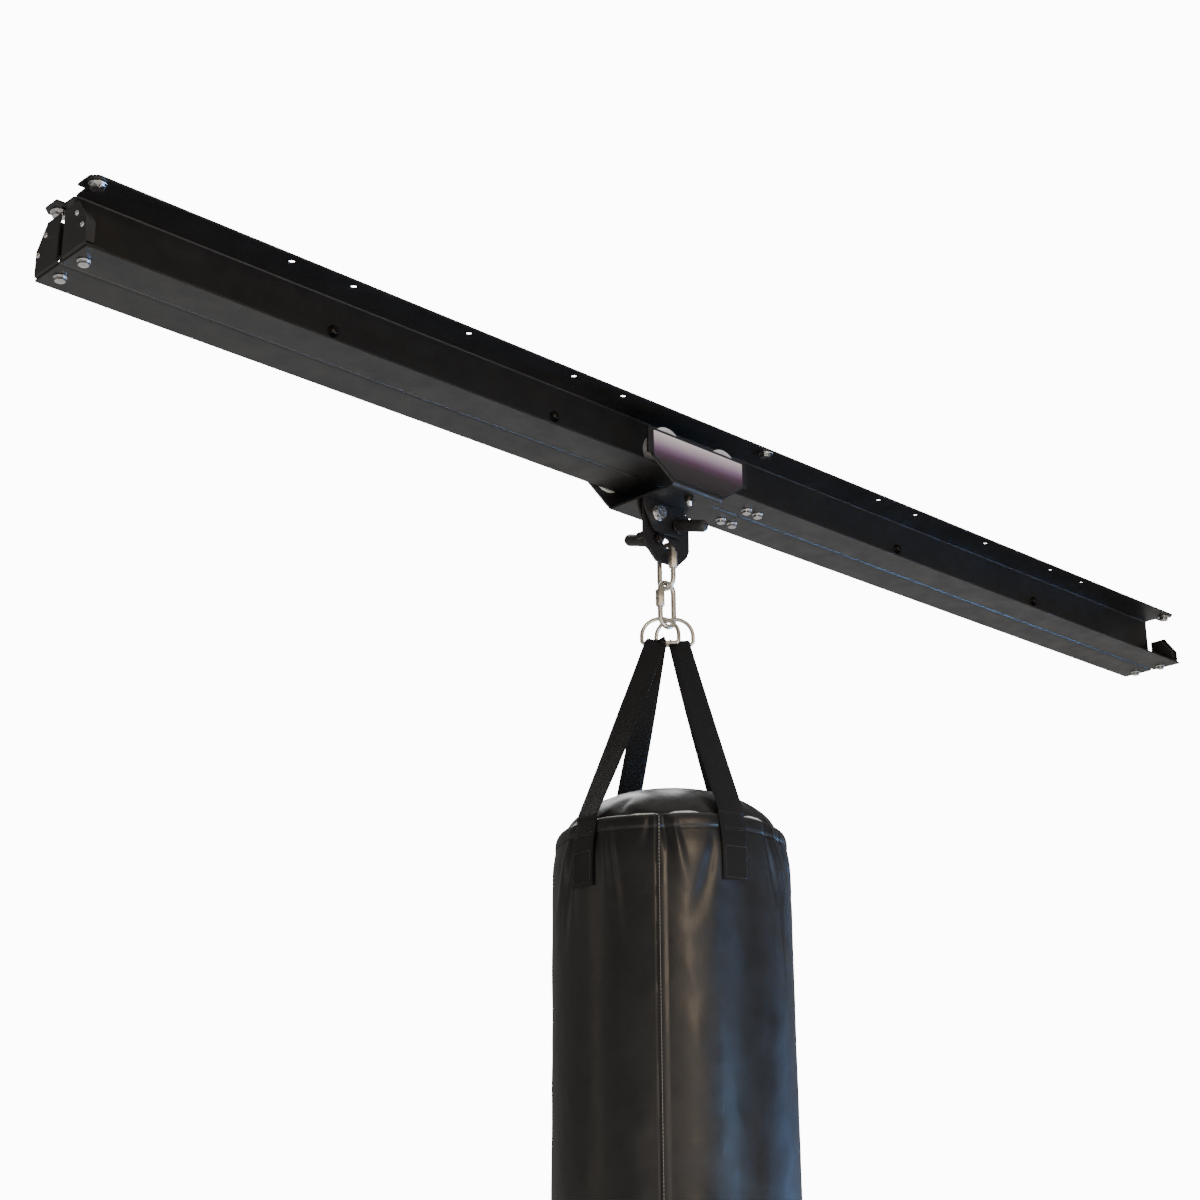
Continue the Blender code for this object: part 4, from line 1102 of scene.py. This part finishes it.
def top_cap():
    """A puffed cap, sewn all round its edge, with the creases that its seam gathers."""
    columns, steps = 144, 22
    bm = bmesh.new()
    pole = bm.verts.new((AXIS_MM, 0, cap_height(0)))
    rings = []
    for k in range(1, steps + 1):
        share = math.sin(math.pi / 2 * k / steps)
        ring = []
        for i in range(columns):
            angle = 2 * math.pi * i / columns
            gather = 1.6 * share ** 5 * math.sin(angle * 19 + 2.2 * math.sin(angle * 4))
            radius = CAP_RADIUS * share - 0.6 * gather * share
            z = cap_height(share) + (gather if k < steps else 0.0)
            ring.append(bm.verts.new(from_axis(radius, angle, z)))
        rings.append(ring)
    seat = [bm.verts.new(v.co - Vector((0, 0, 4.0))) for v in rings[-1]]
    for i in range(columns):
        bm.faces.new((pole, rings[0][i], rings[0][(i + 1) % columns]))
    for one, two in zip(rings, rings[1:] + [seat]):
        for i in range(columns):
            j = (i + 1) % columns
            bm.faces.new((one[i], two[i], two[j], one[j]))
    bm.faces.new(seat[::-1])
    obj = piece("top_cap_fine", bm, "cap_leatherette", "bag", ["top_cap"], sharp=80.0)
    group = obj.vertex_groups.new(name="sewn")
    group.add([v.index for v in obj.data.vertices if v.index > columns * (steps - 2)], 1.0, "REPLACE")
    cloth = obj.modifiers.new("cloth", "CLOTH")
    settings = cloth.settings
    settings.quality = 6
    settings.mass = 0.3
    settings.bending_stiffness = 0.6
    settings.shrink_min = -0.015
    settings.vertex_group_mass = "sewn"
    settings.use_pressure = True
    settings.uniform_pressure_force = 4.0
    settings.effector_weights.gravity = 0.0
    settle(obj, cloth, 20, 0.005)
    fine = obj.modifiers.new("fine", "SUBSURF")
    fine.levels = fine.render_levels = 1


def filling():
    """The stuffing, a little smaller than the shell and the cap round it."""
    columns = 96
    depths = [HEIGHT_MM - 8, HEIGHT_MM - 26] + [HEIGHT_MM - 60 - 34 * k for k in range(26)] + [60, 36, 22]
    bm = bmesh.new()
    rings = [shell_ring(bm, columns, below, -SHELL_SKIN - 9.0) for below in depths]
    for k in range(9):
        share = 1 - k / 9
        radius, z = (CAP_RADIUS - 6.0) * share, cap_height(share) - 7.0
        angles = [2 * math.pi * i / columns - math.pi for i in range(columns)]
        rings.append([bm.verts.new(from_axis(radius, angle, z)) for angle in angles])
    skin(bm, rings)
    bm.faces.new(rings[0][::-1])
    bm.faces.new(rings[-1])
    piece("bag_filling_fine", bm, "lining", "bag", ["bag_filling"])


def settle(obj, cloth, frames, cap):
    """Run a cloth simulation from frame 1 and keep its result, with each point's move capped."""
    scene = bpy.context.scene
    rest = [v.co.copy() for v in obj.data.vertices]
    cloth.point_cache.frame_start = 1
    cloth.point_cache.frame_end = frames
    for number in range(1, frames + 1):
        scene.frame_set(number)
    evaluated = obj.evaluated_get(bpy.context.evaluated_depsgraph_get())
    moved = [v.co.copy() for v in evaluated.data.vertices]
    obj.modifiers.remove(cloth)
    for vertex, start, end in zip(obj.data.vertices, rest, moved):
        step = end - start
        if step.length > cap:
            step *= cap / step.length
        vertex.co = start + step
    obj.data.update()
    scene.frame_set(1)


# ---------------------------------------------------------------- stage

def area_light(name, place, target, size, power, color, spread=180):
    data = bpy.data.lights.new(name, "AREA")
    data.shape = "RECTANGLE"
    data.size, data.size_y = size
    data.energy = power
    data.color = color
    data.spread = math.radians(spread)
    obj = new_object(name, data)
    obj.location = place
    obj.visible_camera = False
    aim = Vector(target) - Vector(place)
    obj.rotation_mode = "QUATERNION"
    obj.rotation_quaternion = aim.to_track_quat("-Z", "Y")


def camera():
    data = bpy.data.cameras.new("camera")
    data.lens = CAMERA_LENS
    data.sensor_width = 36.0
    data.clip_end = 60.0
    obj = new_object("camera", data)
    back = CAMERA_RIGHT.cross(CAMERA_UP)
    turn = Matrix((CAMERA_RIGHT, CAMERA_UP, back)).transposed()
    obj.rotation_mode = "QUATERNION"
    obj.rotation_quaternion = turn.to_quaternion()
    obj.location = CAMERA_PLACE
    bpy.context.scene.camera = obj


def floor():
    """A pale floor well below the bag."""
    g = Graph("floor")
    g.set(Emission_Color=(0.85, 0.85, 0.84, 1), Emission_Strength=0.4)
    g.color(g.noise(1.5, 3.0), (0.82, 0.82, 0.81), (0.86, 0.86, 0.85))
    g.rough(g.noise(3.0, 2.0), 0.75, 0.85)
    mesh = bpy.data.meshes.new("floor")
    bm = bmesh.new()
    bmesh.ops.create_grid(bm, x_segments=8, y_segments=8, size=45.0)
    bm.to_mesh(mesh)
    bm.free()
    mesh.materials.append(g.material)
    obj = new_object("floor", mesh)
    obj.location.z = FLOOR_Z


def world():
    """White where the camera looks past the object, and a dim room in reflections."""
    made = bpy.data.worlds.new("studio")
    bpy.context.scene.world = made
    made.use_nodes = True
    tree = made.node_tree
    tree.nodes.clear()
    output = tree.nodes.new("ShaderNodeOutputWorld")
    mix = tree.nodes.new("ShaderNodeMixShader")
    path = tree.nodes.new("ShaderNodeLightPath")
    room = tree.nodes.new("ShaderNodeBackground")
    room.inputs["Color"].default_value = (0.92, 0.88, 0.84, 1)
    room.inputs["Strength"].default_value = 0.22
    white = tree.nodes.new("ShaderNodeBackground")
    white.inputs["Color"].default_value = (1, 1, 1, 1)
    white.inputs["Strength"].default_value = 12.0
    tree.links.new(path.outputs["Is Camera Ray"], mix.inputs["Fac"])
    tree.links.new(room.outputs["Background"], mix.inputs[1])
    tree.links.new(white.outputs["Background"], mix.inputs[2])
    tree.links.new(mix.outputs["Shader"], output.inputs["Surface"])


def lights():
    """Lights are placed by the camera's bearings, seen from the bag."""
    target = Vector((BAG_X, 0, RIM_Z - 0.1))
    toward = (Vector(CAMERA_PLACE) - target).normalized()

    def spot(bearing, distance, height):
        angle = math.radians(bearing)
        flat = Vector((toward.x, toward.y, 0)).normalized()
        side = Vector((CAMERA_RIGHT.x, CAMERA_RIGHT.y, 0)).normalized()
        return target + (flat * math.cos(angle) + side * math.sin(angle)) * distance + UP * height

    area_light("key_warm", spot(19, 3.2, 0.9), target, (0.30, 1.5), 24, (1.0, 0.78, 0.55))
    area_light("fill_front", spot(-6, 3.6, -0.9), (0, 0, 0), (3.4, 1.8), 16, (1.0, 0.88, 0.78))
    area_light("side_blue", spot(120, 2.6, -0.9), target, (0.3, 1.6), 6, (0.22, 0.48, 1.0), 40)
    area_light("edge_blue", spot(50, 3.0, -0.6), target, (0.14, 1.4), 2.2, (0.30, 0.56, 1.0), 40)
    area_light("left_soft", spot(-75, 3.0, 0.3), target, (0.3, 1.6), 2.5, (1.0, 0.85, 0.70))
    area_light("back_soft", (1.2, 2.6, 2.6), target, (2.4, 1.8), 26, (0.97, 0.98, 1.0), 90)
    area_light("overhead", (0, 0, 2.2), (0, 0, -1), (4.0, 4.0), 30, (1.0, 0.98, 0.95))
    area_light("under_rail", (0.1, -1.6, -1.9), (0.1, 0, 0), (2.6, 0.4), 22, (1.0, 0.90, 0.80))


# ---------------------------------------------------------------- build

finish_cad_nodes()
rail_fasteners()
bumper_screws()
running_gear()
hanger()
pegs()
quick_link("upper", (0, 1, 0), -1)
quick_link("lower", (1, 0, 0), -1)
d_ring(-1, "d_ring_left")
d_ring(1, "d_ring_right")
strap(-1, "strap_left")
strap(1, "strap_right")
bag_shell()
bag_stitching()
bag_base()
rim_lining()
top_cap()
filling()
camera()
floor()
world()
lights()
